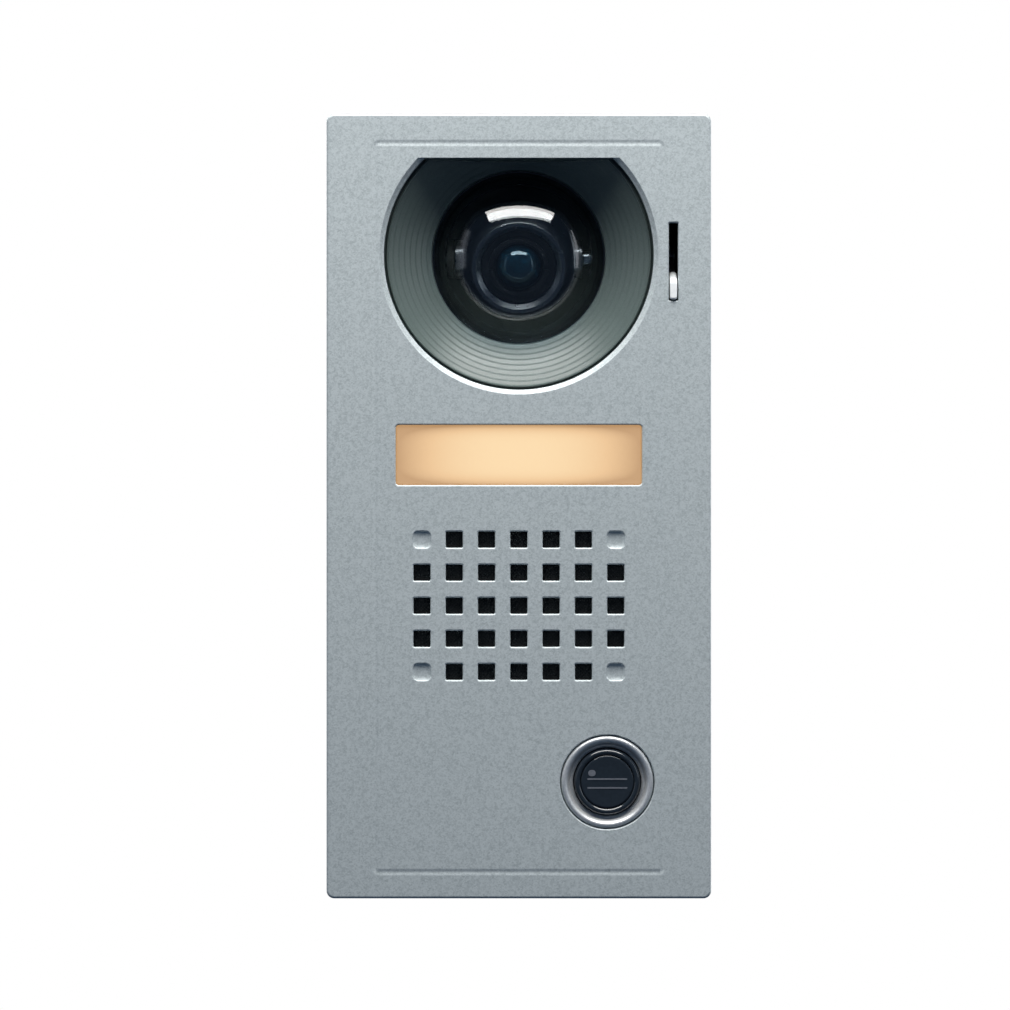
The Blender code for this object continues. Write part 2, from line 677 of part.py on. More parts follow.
def front_housing():
    shell = bmesh.new()
    sections = []
    for step in range(5):
        angle = math.pi / 2 * step / 4
        inset = EDGE_RADIUS * (1 - math.sin(angle))
        outline = rounded_rectangle(WIDTH / 2 - inset, HEIGHT / 2 - inset, CORNER_RADIUS - inset)
        sections.append((outline, FACE_Y + EDGE_RADIUS * (1 - math.cos(angle))))
    sections.append((rounded_rectangle(WIDTH / 2, HEIGHT / 2, CORNER_RADIUS), RIM_Y))
    loft(shell, sections)
    housing = piece("front_housing", shell, (0.36, 0.40, 0.41), 0.45, 0.6)
    cavity = bmesh.new()
    prism(cavity, rounded_rectangle(INNER_X, INNER_Z, CORNER_RADIUS / 2, 2), INSIDE_Y, RIM_Y + OVERRUN)
    cut(housing, cavity)
    add_bosses(housing)
    cut_screw_holes(housing)
    cut_front_openings(housing)
    cut_bottom_holes(housing)
    cut_frame_groove(housing)


# ---------------------------------------------------------------- fasteners


def screw(name, seat, axis="Y", facing=1, radius=SCREW_RADIUS, head=None, length=SCREW_LENGTH):
    """A slotted screw whose head stands on the seat and faces along the axis."""
    head_radius, head_height = head or (SCREW_HEAD_RADIUS, SCREW_HEAD_HEIGHT)
    chamfer = head_height / 4
    profile = [(0, facing * head_height), (head_radius - chamfer, facing * head_height)]
    profile += [(head_radius, facing * (head_height - chamfer)), (head_radius, 0)]
    profile += [(radius, 0), (radius, -facing * length), (0, -facing * length)]
    shape = bmesh.new()
    turned(shape, profile, seat, axis, SMALL_ROUND)
    added = piece(name, shape, (0.55, 0.55, 0.56), 0.35, 1.0)
    slot = bmesh.new()
    floor = facing * head_height / 2
    top = facing * (head_height + OVERRUN)
    drive = rectangle(head_radius * 0.75, head_radius * 0.13)
    prism(slot, drive, floor, top, seat, axis)
    cut(added, slot)


def screws():
    stacks = [
        ("rear_cover_screw", COVER_SCREWS, COVER_Y + COVER_THICKNESS),
        ("cradle_screw", CRADLE_SCREWS, CRADLE_Y + CRADLE_PLATE),
        ("board_screw", BOARD_SCREWS, BOARD_REAR_Y),
        ("clamp_screw", CLAMP_SCREWS, CLAMP_Y + CLAMP_THICKNESS),
    ]
    for name, places, seat in stacks:
        for number, (x, z) in enumerate(places, 1):
            screw(f"{name}_{number}", (x, seat + GAP, z))
    head = (SECURITY_HEAD_RADIUS, SECURITY_HEAD_HEIGHT)
    seat = (0, -TAB_SCREW_Y, SECURITY_SEAT_Z)
    screw("security_screw", seat, "Z", -1, SECURITY_RADIUS, head, SECURITY_LENGTH)


# ---------------------------------------------------------------- camera


def camera_bezel():
    """The stepped cone, with the level ceiling that closes it under the opening's flat top."""
    first = OPENING_RADIUS - CONE_MARGIN
    last = DOME_RADIUS + GAP
    tread = (first - last) / CONE_STEPS
    rise = CONE_DEPTH / CONE_STEPS
    profile = [(first, BEZEL_Y)]
    for step in range(CONE_STEPS):
        profile.append((first - step * tread, BEZEL_Y + (step + 1) * rise))
        profile.append((first - (step + 1) * tread, BEZEL_Y + (step + 1) * rise))
    seat = LIP_Y + BEZEL_LIP
    rim = CRADLE_Y - GAP
    profile += [(last, seat), (DOME_SEAT_RADIUS, seat), (DOME_SEAT_RADIUS, rim)]
    flange_rear = BEZEL_Y + BEZEL_FLANGE_THICKNESS
    profile += [(DOME_SEAT_RADIUS + BEZEL_RIM, rim), (DOME_SEAT_RADIUS + BEZEL_RIM, LIP_Y)]
    profile += [(first + BEZEL_RIM, flange_rear), (BEZEL_RADIUS, flange_rear), (BEZEL_RADIUS, BEZEL_Y)]
    shape = bmesh.new()
    turned(shape, profile, (0, 0, CAMERA_Z))
    bezel = piece("camera_bezel", shape, (0.12, 0.16, 0.16), 0.5, 0.3)

    ceiling = OPENING_FLAT - GAP
    crown = OPENING_FLAT + BEZEL_FLANGE
    half_low = math.sqrt(BEZEL_RADIUS**2 - ceiling**2)
    half_high = math.sqrt(BEZEL_RADIUS**2 - crown**2)
    over = crown + OVERRUN
    low = half_low - GAP
    high = half_high - GAP
    outline = [(low, ceiling), (high, over), (-high, over), (-low, ceiling)]
    vault = bmesh.new()
    reach = BEZEL_Y + CONE_DEPTH * (first - ceiling) / (first - last) + BEZEL_LIP
    prism(vault, outline, BEZEL_Y + GAP / 2, reach, (0, 0, CAMERA_Z))
    join(bezel, vault)
    top = bmesh.new()
    wide = BEZEL_RADIUS + OVERRUN
    above = CAMERA_Z + wide + over
    block(top, (-wide, BEZEL_Y - OVERRUN, CAMERA_Z + crown), (wide, rim + OVERRUN, above))
    cut(bezel, top)


def dome_window():
    inner_apex = PIVOT_Y - BALL_RADIUS - DOME_TO_BALL
    apex = inner_apex - DOME_WALL
    rise = DOME_FLANGE_Y - apex
    radius = (DOME_RADIUS**2 + rise**2) / (2 * rise)
    middle = apex + radius
    flange_rear = DOME_FLANGE_Y + DOME_FLANGE_THICKNESS
    outside = dome_arc(radius, middle, apex, DOME_FLANGE_Y, 6)
    inside = dome_arc(radius - DOME_WALL, middle, inner_apex, flange_rear, 5)
    flange = DOME_RADIUS + DOME_FLANGE_WIDTH
    profile = outside + [(flange, DOME_FLANGE_Y), (flange, flange_rear)] + inside[::-1]
    shape = bmesh.new()
    turned(shape, profile, (0, 0, CAMERA_Z))
    piece("dome_window", shape, (0.04, 0.05, 0.06), 0.05)


def dome_gasket():
    outer = DOME_SEAT_RADIUS - GAP
    inner = outer - DOME_FLANGE_WIDTH
    rear = DOME_GASKET_Y + DOME_GASKET_THICKNESS
    shape = bmesh.new()
    profile = [(inner, DOME_GASKET_Y), (outer, DOME_GASKET_Y), (outer, rear), (inner, rear)]
    turned(shape, profile, (0, 0, CAMERA_Z))
    piece("dome_gasket", shape, (0.02, 0.02, 0.02), 0.8)


def camera_cradle():
    """A plate behind the dome, with two arms that carry the ball's bearings."""
    rear = CRADLE_Y + CRADLE_PLATE
    low = (-CRADLE_HALF_WIDTH, CRADLE_Y, CAMERA_Z - CRADLE_DOWN)
    high = (CRADLE_HALF_WIDTH, rear, CAMERA_Z + CRADLE_UP)
    plate = bmesh.new()
    block(plate, low, high)
    cradle = piece("camera_cradle", plate, (0.03, 0.03, 0.03), 0.6)
    arms = bmesh.new()
    half = SHAFT_RADIUS + CRADLE_ARM
    for side in (-1, 1):
        near, far = sorted((side * ARM_X, side * (ARM_X + CRADLE_ARM)))
        block(
            arms,
            (near, rear - CRADLE_PLATE / 2, CAMERA_Z - half),
            (far, PIVOT_Y + half, CAMERA_Z + half),
        )
    join(cradle, arms)
    holes = bmesh.new()
    front = CRADLE_Y - OVERRUN
    back = rear + OVERRUN
    cylinder(holes, CRADLE_HOLE_RADIUS, front, back, (0, 0, CAMERA_Z), sides=ROUND)
    for x, z in CRADLE_SCREWS:
        cylinder(holes, SCREW_RADIUS + GAP, front, back, (x, 0, z))
    for x, z in CRADLE_PEGS:
        cylinder(holes, PEG_RADIUS + GAP, front, back, (x, 0, z))
    cut(cradle, holes)
    bearings = bmesh.new()
    reach = ARM_X + CRADLE_ARM + OVERRUN
    for side in (-1, 1):
        near, far = sorted((side * (ARM_X - OVERRUN), side * reach))
        cylinder(bearings, SHAFT_RADIUS + GAP, near, far, (0, PIVOT_Y, CAMERA_Z), "X")
    cut(cradle, bearings)


def tilt_friction_washer():
    """Sits between the ball and the left arm, and holds the tilt where it is put."""
    start = -(BALL_BOSS_X + GAP)
    end = start - WASHER_THICKNESS
    bore = SHAFT_RADIUS + GAP
    profile = [(bore, start), (BALL_BOSS_RADIUS, start), (BALL_BOSS_RADIUS, end), (bore, end)]
    shape = bmesh.new()
    turned(shape, profile, (0, PIVOT_Y, CAMERA_Z), "X", SMALL_ROUND)
    piece("tilt_friction_washer", shape, (0.30, 0.28, 0.24), 0.6)


def camera_ball(tilt):
    """A hollow ball, cut flat in front and behind, with a sunk lens hole and a stub axle on the left."""
    inner = BALL_RADIUS - BALL_WALL
    outside = dome_arc(BALL_RADIUS, 0, -BALL_FRONT, BALL_REAR, 6)
    inside = dome_arc(inner, 0, -LENS_PLATE_REAR, BALL_REAR, 4)
    profile = outside + inside[::-1]
    profile += [(LENS_HOLE_RADIUS, -LENS_PLATE_REAR), (LENS_HOLE_RADIUS, -LENS_HOLE_FRONT)]
    shape = bmesh.new()
    turned(shape, profile)
    ball = piece("camera_ball", shape, (0.02, 0.02, 0.025), 0.2, parent=tilt)
    axle = bmesh.new()
    bury = inner - BALL_BOSS_RADIUS / 2
    cylinder(axle, BALL_BOSS_RADIUS, bury, BALL_BOSS_X, axis="X")
    shoulder = -(BALL_BOSS_X)
    end = -(ARM_X + CRADLE_ARM)
    stub = [(0, -bury), (BALL_BOSS_RADIUS, -bury), (BALL_BOSS_RADIUS, shoulder)]
    stub += [(SHAFT_RADIUS, shoulder), (SHAFT_RADIUS, end), (0, end)]
    turned(axle, stub, axis="X", sides=SMALL_ROUND)
    join(ball, axle)
    socket = bmesh.new()
    half = SHAFT_SQUARE / 2 + GAP
    prism(socket, rectangle(half, half), bury - OVERRUN, BALL_BOSS_X + OVERRUN, axis="X")
    cut(ball, socket)


def tilt_shaft(tilt):
    """A round journal with squared ends, which keys the lever to the ball."""
    inner_end = BALL_RADIUS - BALL_WALL - BALL_BOSS_RADIUS / 2
    journal = BALL_BOSS_X + GAP
    journal_end = LEVER_X - GAP
    shape = bmesh.new()
    cylinder(shape, SHAFT_RADIUS, journal, journal_end, axis="X")
    shaft = piece("tilt_shaft", shape, (0.6, 0.6, 0.6), 0.3, 1.0, parent=tilt)
    square = bmesh.new()
    half = SHAFT_SQUARE / 2
    outline = rectangle(half, half)
    prism(square, outline, inner_end, journal + BITE, axis="X")
    prism(square, outline, journal_end - BITE, LEVER_X + LEVER_THICKNESS + GAP, axis="X")
    join(shaft, square)


def leaned(shape):
    """Turns the shape about the tilt axis, from the lens's direction to the lever's."""
    bmesh.ops.rotate(shape, verts=shape.verts, cent=(0, 0, 0), matrix=Matrix.Rotation(LEVER_LEAN, 3, "X"))
    return shape


def tilt_lever(tilt):
    hub = bmesh.new()
    cylinder(hub, LEVER_HUB_RADIUS, LEVER_X, LEVER_X + LEVER_THICKNESS, axis="X", sides=24)
    lever = piece("tilt_lever", hub, (0.5, 0.5, 0.5), 0.35, 1.0, parent=tilt)
    knob_rear = KNOB_TIP - KNOB_LENGTH
    arm = bmesh.new()
    half = LEVER_ARM_HEIGHT / 2
    block(
        arm,
        (LEVER_X + GAP / 3, GAP - knob_rear, -half),
        (LEVER_X + LEVER_THICKNESS - GAP / 3, -SHAFT_RADIUS, half),
    )
    join(lever, leaned(arm))
    tongue = bmesh.new()
    low_x = LEVER_MIDDLE_X - TONGUE_THICKNESS / 2
    tongue_end = knob_rear + KNOB_LENGTH * 0.6
    block(tongue, (low_x, -tongue_end, -half / 2), (low_x + TONGUE_THICKNESS, BITE - knob_rear, half / 2))
    join(lever, leaned(tongue))
    keyway = bmesh.new()
    side = SHAFT_SQUARE / 2 + GAP
    prism(keyway, rectangle(side, side), LEVER_X - OVERRUN, LEVER_X + LEVER_THICKNESS + OVERRUN, axis="X")
    cut(lever, keyway)


def tilt_lever_knob(tilt):
    rear = KNOB_TIP - KNOB_LENGTH
    half_x = KNOB_THICKNESS / 2
    half_z = KNOB_HEIGHT / 2
    shape = bmesh.new()
    block(shape, (LEVER_MIDDLE_X - half_x, -KNOB_TIP, -half_z), (LEVER_MIDDLE_X + half_x, -rear, half_z))
    tip_edges = [e for e in shape.edges if all(v.co.y < -KNOB_TIP + BITE for v in e.verts)]
    bmesh.ops.bevel(shape, geom=tip_edges, offset=KNOB_WALL, segments=2, affect="EDGES", profile=0.5)
    knob = piece("tilt_lever_knob", leaned(shape), (0.8, 0.82, 0.82), 0.4, parent=tilt)
    pocket = bmesh.new()
    wide = half_x - KNOB_WALL
    tall = LEVER_ARM_HEIGHT / 4 + GAP
    floor = rear + KNOB_LENGTH * 0.6 + GAP
    block(pocket, (LEVER_MIDDLE_X - wide, -floor, -tall), (LEVER_MIDDLE_X + wide, OVERRUN - rear, tall))
    cut(knob, leaned(pocket))


def lens(tilt):
    """The lens barrel, its front glass, the ring that holds the glass, and the sensor behind them."""
    flange_front = -(LENS_HOLE_FRONT - GAP)
    flange_rear = flange_front + BARREL_FLANGE
    seat = -LENS_PLATE_REAR
    bore = LENS_RADIUS + GAP
    profile = [(bore, flange_front), (LENS_HOLE_RADIUS - GAP, flange_front)]
    profile += [(LENS_HOLE_RADIUS - GAP, flange_rear), (BARREL_RADIUS, flange_rear)]
    profile += [(BARREL_RADIUS, BARREL_REAR), (BARREL_BORE, BARREL_REAR), (BARREL_BORE, seat), (bore, seat)]
    barrel = bmesh.new()
    turned(barrel, profile, sides=24)
    piece("lens_barrel", barrel, (0.01, 0.01, 0.012), 0.3, parent=tilt)

    rim = flange_front - GAP
    radius = (LENS_RADIUS**2 + LENS_BULGE**2) / (2 * LENS_BULGE)
    apex = rim - LENS_BULGE
    glass = dome_arc(radius, apex + radius, apex, rim, 5)
    glass += [(LENS_RADIUS, seat - GAP), (0, seat - GAP)]
    element = bmesh.new()
    turned(element, glass, sides=24)
    piece("lens_front_element", element, (0.05, 0.12, 0.14), 0.05, parent=tilt)

    ring = bmesh.new()
    front = rim - RING_THICKNESS
    outer = bore + RING_WIDTH
    turned(ring, [(bore, front), (outer, front), (outer, rim), (bore, rim)], sides=24)
    piece("lens_retaining_ring", ring, (0.02, 0.02, 0.02), 0.35, parent=tilt)

    chip = bmesh.new()
    chip_y = BARREL_REAR + GAP
    half = SENSOR_SIDE / 2
    block(chip, (-half, chip_y, -half), (half, chip_y + SENSOR_THICKNESS, half))
    piece("image_sensor", chip, (0.05, 0.05, 0.06), 0.3, parent=tilt)
    board = bmesh.new()
    half = SENSOR_BOARD_SIDE / 2
    board_y = chip_y + SENSOR_THICKNESS + GAP
    block(board, (-half, board_y, -half), (half, board_y + SENSOR_BOARD_THICKNESS, half))
    piece("image_sensor_board", board, (0.03, 0.18, 0.08), 0.5, parent=tilt)
    return board_y + SENSOR_BOARD_THICKNESS


def camera_cable(board_rear):
    """A flat ribbon with slack, from the back of the sensor's board to the front of the main board."""
    turn = Matrix.Rotation(TILT_REST, 3, "X")
    pivot = Vector((0, PIVOT_Y, CAMERA_Z))
    lift = GAP + CABLE_THICKNESS / 2
    top = pivot + turn @ Vector((0, board_rear + lift, SENSOR_BOARD_SIDE / 4))
    lower = pivot + turn @ Vector((0, board_rear + lift, 0))
    rim_radius = math.sqrt(BALL_RADIUS**2 - BALL_REAR**2)
    rim_y = BALL_REAR * math.cos(TILT_REST) + rim_radius * math.sin(TILT_REST)
    back_y = PIVOT_Y + rim_y + CABLE_BEHIND_BALL
    foot_y = BOARD_Y - lift
    knots = [
        top,
        lower,
        Vector((0, back_y, CAMERA_Z - 8 * MM)),
        Vector((0, back_y, CAMERA_Z - CRADLE_DOWN / 2)),
        Vector((0, (back_y + foot_y) / 2, BOARD_TOP + 6 * MM)),
        Vector((0, foot_y, BOARD_TOP + 1 * MM)),
        Vector((0, foot_y, BOARD_TOP - 5 * MM)),
    ]
    route = smooth_route(knots, 4)
    shape = bmesh.new()
    rings = []
    for i, point in enumerate(route):
        along = route[min(i + 1, len(route) - 1)] - route[max(i - 1, 0)]
        normal = Vector((0, -along.z, along.y)).normalized() * (CABLE_THICKNESS / 2)
        side = Vector((CABLE_WIDTH / 2, 0, 0))
        corners = (side + normal, normal - side, -side - normal, side - normal)
        rings.append([shape.verts.new(point + corner) for corner in corners])
    shape.faces.new(rings[0])
    shape.faces.new(rings[-1])
    for first, second in zip(rings, rings[1:]):
        for i in range(4):
            j = (i + 1) % 4
            shape.faces.new((first[i], first[j], second[j], second[i]))
    piece("camera_cable", shape, (0.75, 0.72, 0.62), 0.5)


def camera_module():
    camera_bezel()
    dome_window()
    dome_gasket()
    camera_cradle()
    tilt_friction_washer()
    tilt = axis_marker("camera_tilt_axis", (0, PIVOT_Y, CAMERA_Z), TILT_REST)
    camera_ball(tilt)
    tilt_shaft(tilt)
    tilt_lever(tilt)
    tilt_lever_knob(tilt)
    board_rear = lens(tilt)
    camera_cable(board_rear)


# ---------------------------------------------------------------- nameplate


def nameplate():
    """The pane, the paper card behind it, the light guide, its frame and the two lamps on their board."""
    centre = (0, 0, WINDOW_Z)
    half_x = WINDOW_WIDTH / 2
    half_z = WINDOW_HEIGHT / 2
    pane_front = FACE_Y + WINDOW_RECESS
    flange_front = INSIDE_Y + GAP
    flange_rear = flange_front + PANE_FLANGE_THICKNESS
    raised = rounded_rectangle(half_x - GAP, half_z - GAP, WINDOW_CORNER - GAP, 2)
    flange = rounded_rectangle(half_x + PANE_FLANGE, half_z + PANE_FLANGE, WINDOW_CORNER, 2)
    pane = bmesh.new()
    sections = [(raised, pane_front), (raised, flange_front)]
    sections += [(flange, flange_front), (flange, flange_rear)]
    loft(pane, sections, centre)
    piece("nameplate_window", pane, (0.9, 0.78, 0.55), 0.3)

    inner_x = half_x + PANE_FLANGE
    inner_z = half_z + PANE_FLANGE
    sheet = rectangle(inner_x, inner_z)
    card_y = flange_rear + GAP
    card = bmesh.new()
    prism(card, sheet, card_y, card_y + CARD_THICKNESS, centre)
    piece("name_card", card, (0.9, 0.88, 0.8), 0.8)

    guide_y = card_y + CARD_THICKNESS + GAP
    guide = bmesh.new()
    prism(guide, sheet, guide_y, guide_y + GUIDE_THICKNESS, centre)
    piece("light_guide", guide, (0.85, 0.85, 0.85), 0.2)

    frame_inner = rectangle(inner_x + GAP, inner_z + GAP)
    frame_outer = rectangle(inner_x + GAP + REFLECTOR_WALL, inner_z + GAP + REFLECTOR_WALL)
    frame_rear = flange_front + REFLECTOR_DEPTH
    reflector = bmesh.new()
    sections = [(frame_inner, flange_front), (frame_outer, flange_front)]
    sections += [(frame_outer, frame_rear), (frame_inner, frame_rear)]
    loft(reflector, sections, centre, closed=True)
    piece("backlight_reflector", reflector, (0.85, 0.85, 0.83), 0.6)

    board_y = frame_rear + GAP
    board = bmesh.new()
    prism(board, frame_outer, board_y, board_y + LIGHT_BOARD_THICKNESS, centre)
    piece("backlight_board", board, (0.03, 0.18, 0.08), 0.5)

    half = LED_SIDE / 2
    for number in range(LED_COUNT):
        x = (number - (LED_COUNT - 1) / 2) * LED_SPACING
        led = bmesh.new()
        rear = board_y - GAP
        prism(led, rectangle(half, half), rear - LED_THICKNESS, rear, (x, 0, WINDOW_Z))
        piece(f"backlight_led_{number + 1}", led, (0.95, 0.85, 0.5), 0.4)


# ---------------------------------------------------------------- speaker


def speaker():
    centre = (0, 0, GRILLE_Z)
    half_x = (GRILLE_COLUMNS - 1) / 2 * GRILLE_PITCH_X + HOLE_WIDTH / 2 + SCREEN_MARGIN
    half_z = (GRILLE_ROWS - 1) / 2 * GRILLE_PITCH_Z + HOLE_HEIGHT / 2 + SCREEN_MARGIN
    screen_y = INSIDE_Y + GAP
    screen = bmesh.new()
    prism(screen, rectangle(half_x, half_z), screen_y, screen_y + SCREEN_THICKNESS, centre)
    piece("grille_screen", screen, (0.02, 0.02, 0.02), 0.9)

    gasket_y = screen_y + SCREEN_THICKNESS + GAP
    gasket_rear = gasket_y + SPEAKER_GASKET_THICKNESS
    inner = SPEAKER_RADIUS - SPEAKER_RIM
    outer = SPEAKER_RADIUS
    gasket = bmesh.new()
    profile = [(inner, gasket_y), (outer, gasket_y), (outer, gasket_rear), (inner, gasket_rear)]
    turned(gasket, profile, centre)
    piece("speaker_gasket", gasket, (0.03, 0.03, 0.03), 0.9)
    speaker_basket(centre)
    speaker_cone(centre)
    speaker_motor(centre)
    speaker_clamp()
    speaker_lead()


def speaker_basket(centre):
    """A pressed steel frame with four windows in its side."""
    rim = SPEAKER_RIM_Y
    inner = SPEAKER_RADIUS - SPEAKER_RIM
    bore = COIL_RADIUS + COIL_CLEARANCE
    profile = [
        (inner, rim),
        (SPEAKER_RADIUS, rim),
        (SPEAKER_RADIUS, rim + BASKET_THICKNESS),
        (inner + BASKET_THICKNESS, rim + BASKET_THICKNESS),
        (inner + BASKET_THICKNESS, rim + BASKET_STEP),
        (BASKET_BACK_RADIUS + BASKET_THICKNESS, BASKET_BACK_Y + BASKET_THICKNESS),
        (bore, BASKET_BACK_Y + BASKET_THICKNESS),
        (bore, BASKET_BACK_Y),
        (BASKET_BACK_RADIUS, BASKET_BACK_Y),
        (inner, rim + BASKET_STEP),
    ]
    shape = bmesh.new()
    turned(shape, profile, centre)
    basket = piece("speaker_basket", shape, (0.45, 0.45, 0.46), 0.4, 1.0)
    windows = bmesh.new()
    middle = (BASKET_BACK_RADIUS + inner) / 2
    deep = (rim + BASKET_BACK_Y) / 2
    for number in range(4):
        angle = math.pi / 4 + math.pi / 2 * number
        x = middle * math.cos(angle)
        z = GRILLE_Z + middle * math.sin(angle)
        start = deep - BASKET_STEP
        cylinder(windows, BASKET_WINDOW_RADIUS, start, BASKET_BACK_Y + OVERRUN, (x, 0, z))
    cut(basket, windows)


def speaker_cone(centre):
    """The paper cone with its dust cap, and the tube that carries the voice coil."""
    rim_radius = SPEAKER_RADIUS - SPEAKER_RIM - GAP
    rim = SPEAKER_RIM_Y + GAP
    throat = rim + CONE_THROAT_DEPTH
    coil_end = MAGNET_Y + MAGNET_THICKNESS / 2
    coil_inner = COIL_RADIUS - CONE_THICKNESS
    front = [
        (0, throat - DUST_CAP_HEIGHT),
        (coil_inner / 2, throat - DUST_CAP_HEIGHT + CONE_THICKNESS),
        (coil_inner, throat - CONE_THICKNESS),
        (COIL_RADIUS + COIL_CLEARANCE, throat),
        (rim_radius - CONE_ROLL_WIDTH, rim + CONE_THICKNESS),
        (rim_radius - CONE_ROLL_WIDTH / 2, rim - CONE_ROLL_HEIGHT),
        (rim_radius, rim),
    ]
    back = [(radius, y + CONE_THICKNESS) for radius, y in front]
    coil = [(COIL_RADIUS, throat + CONE_THICKNESS), (COIL_RADIUS, coil_end), (coil_inner, coil_end)]
    profile = front + back[:3:-1] + [back[3]] + coil + back[2::-1]
    shape = bmesh.new()
    turned(shape, profile, centre, sides=24)
    piece("speaker_cone", shape, (0.04, 0.04, 0.045), 0.8)


def speaker_motor(centre):
    bore = COIL_RADIUS + COIL_CLEARANCE
    rear = MAGNET_Y + MAGNET_THICKNESS
    outer = MAGNET_RADIUS
    magnet = bmesh.new()
    profile = [(bore, MAGNET_Y), (outer, MAGNET_Y), (outer, rear), (bore, rear)]
    turned(magnet, profile, centre, sides=24)
    piece("speaker_magnet", magnet, (0.06, 0.06, 0.06), 0.5)
    pole = COIL_RADIUS - CONE_THICKNESS - COIL_CLEARANCE
    plate_rear = YOKE_Y + YOKE_THICKNESS
    profile = [(0, MAGNET_Y), (pole, MAGNET_Y), (pole, YOKE_Y), (MAGNET_RADIUS, YOKE_Y)]
    profile += [(MAGNET_RADIUS, plate_rear), (0, plate_rear)]
    yoke = bmesh.new()
    turned(yoke, profile, centre, sides=24)
    piece("speaker_yoke", yoke, (0.5, 0.5, 0.5), 0.4, 1.0)


def speaker_clamp():
    """A steel strap across the back of the speaker, screwed to two posts."""
    half = CLAMP_SCREW_X + BOSS_RADIUS
    rear = CLAMP_Y + CLAMP_THICKNESS
    shape = bmesh.new()
    outline = rounded_rectangle(half, CLAMP_WIDTH / 2, BOSS_RADIUS, 3)
    prism(shape, outline, CLAMP_Y, rear, (0, 0, GRILLE_Z))
    clamp = piece("speaker_clamp", shape, (0.55, 0.55, 0.55), 0.4, 1.0)
    holes = bmesh.new()
    for x, z in CLAMP_SCREWS:
        cylinder(holes, SCREW_RADIUS + GAP, CLAMP_Y - OVERRUN, rear + OVERRUN, (x, 0, z))
    cut(clamp, holes)


def speaker_lead():
    """Runs from the basket's edge to the front of the main board."""
    start_x = -(BASKET_BACK_RADIUS + 6 * MM)
    knots = [
        Vector((start_x, BASKET_BACK_Y + 1.5 * MM, GRILLE_Z - 9 * MM)),
        Vector((start_x - 3 * MM, BASKET_BACK_Y + 3.5 * MM, GRILLE_Z - 13 * MM)),
        Vector((start_x - 6 * MM, CLAMP_Y - 1 * MM, GRILLE_Z - 20 * MM)),
        Vector((start_x - 7 * MM, BOARD_Y - 3 * MM, GRILLE_Z - 24 * MM)),
        Vector((start_x - 7 * MM, BOARD_Y - GAP, GRILLE_Z - 25 * MM)),
    ]
    shape = bmesh.new()
    tube(shape, smooth_route(knots, 4), LEAD_RADIUS, 8)
    piece("speaker_lead", shape, (0.03, 0.03, 0.03), 0.6)


# ---------------------------------------------------------------- call button


def button_bezel():
    """The polished ring, screwed in from the front: a slope, a lip that keeps the button in, and a tube."""
    front = FACE_Y - RING_PROUD
    slope_end = front + RING_SLOPE_DEPTH
    slope_start = BUTTON_HOLE_RADIUS + RING_SLOPE_WIDTH
    shelf = FACE_Y + RING_FLANGE_DEPTH - GAP
    lip_rear = CAP_Y + CAP_DEPTH - CAP_FLANGE_THICKNESS - GAP
    tube_rear = FACE_Y + RING_TUBE_REAR
    profile = [
        (slope_start, front),
        (RING_RADIUS, front),
        (RING_RADIUS, shelf),
        (TUBE_RADIUS, shelf),
        (TUBE_RADIUS, tube_rear),
        (TUBE_BORE, tube_rear),
        (TUBE_BORE, lip_rear),
        (BUTTON_HOLE_RADIUS, lip_rear),
        (BUTTON_HOLE_RADIUS, slope_end),
    ]
    shape = bmesh.new()
    turned(shape, profile, (BUTTON_X, 0, BUTTON_Z))
    piece("button_bezel", shape, (0.8, 0.8, 0.8), 0.12, 1.0)


def button_nut():
    front = INSIDE_Y + GAP
    rear = front + NUT_THICKNESS
    centre = (BUTTON_X, 0, BUTTON_Z)
    shape = bmesh.new()
    prism(shape, circle(NUT_RADIUS, 6), front, rear, centre)
    nut = piece("button_nut", shape, (0.5, 0.5, 0.5), 0.4, 1.0)
    bore = bmesh.new()
    cylinder(bore, TUBE_RADIUS + GAP, front - OVERRUN, rear + OVERRUN, centre, sides=ROUND)
    cut(nut, bore)


def button_cap(press):
    """A cup whose flange runs in the ring's tube, with a seat for the icon and a stem for the switch."""
    inner = BUTTON_RADIUS - CAP_WALL
    flange = BUTTON_HOLE_RADIUS + CAP_FLANGE - GAP / 2
    flange_y = CAP_DEPTH - CAP_FLANGE_THICKNESS
    switch_top = SWITCH_BOARD_Y - GAP - SWITCH_HEIGHT - SWITCH_PLUNGER_HEIGHT
    stem_end = switch_top - BUTTON_TRAVEL - GAP - CAP_Y
    sink = ICON_THICKNESS
    crown = BUTTON_RADIUS - CAP_WALL / 3
    profile = [
        (0, sink),
        (ICON_RADIUS + GAP, sink),
        (ICON_RADIUS + GAP, 0),
        (crown, 0),
        (BUTTON_RADIUS, CAP_WALL / 3),
        (BUTTON_RADIUS, flange_y),
        (flange, flange_y),
        (flange, CAP_DEPTH),
        (inner, CAP_DEPTH),
        (inner, CAP_CEILING),
        (STEM_RADIUS, CAP_CEILING),
        (STEM_RADIUS, stem_end),
        (0, stem_end),
    ]
    shape = bmesh.new()
    turned(shape, profile)
    piece("button_cap", shape, (0.04, 0.045, 0.05), 0.2, parent=press)


def button_icon(press):
    """A thin disc let into the cap's face."""
    rear = ICON_THICKNESS - GAP
    profile = [(0, ICON_SUNK), (ICON_RADIUS, ICON_SUNK), (ICON_RADIUS, rear), (0, rear)]
    shape = bmesh.new()
    turned(shape, profile)
    piece("button_icon", shape, (0.03, 0.035, 0.04), 0.3, parent=press)


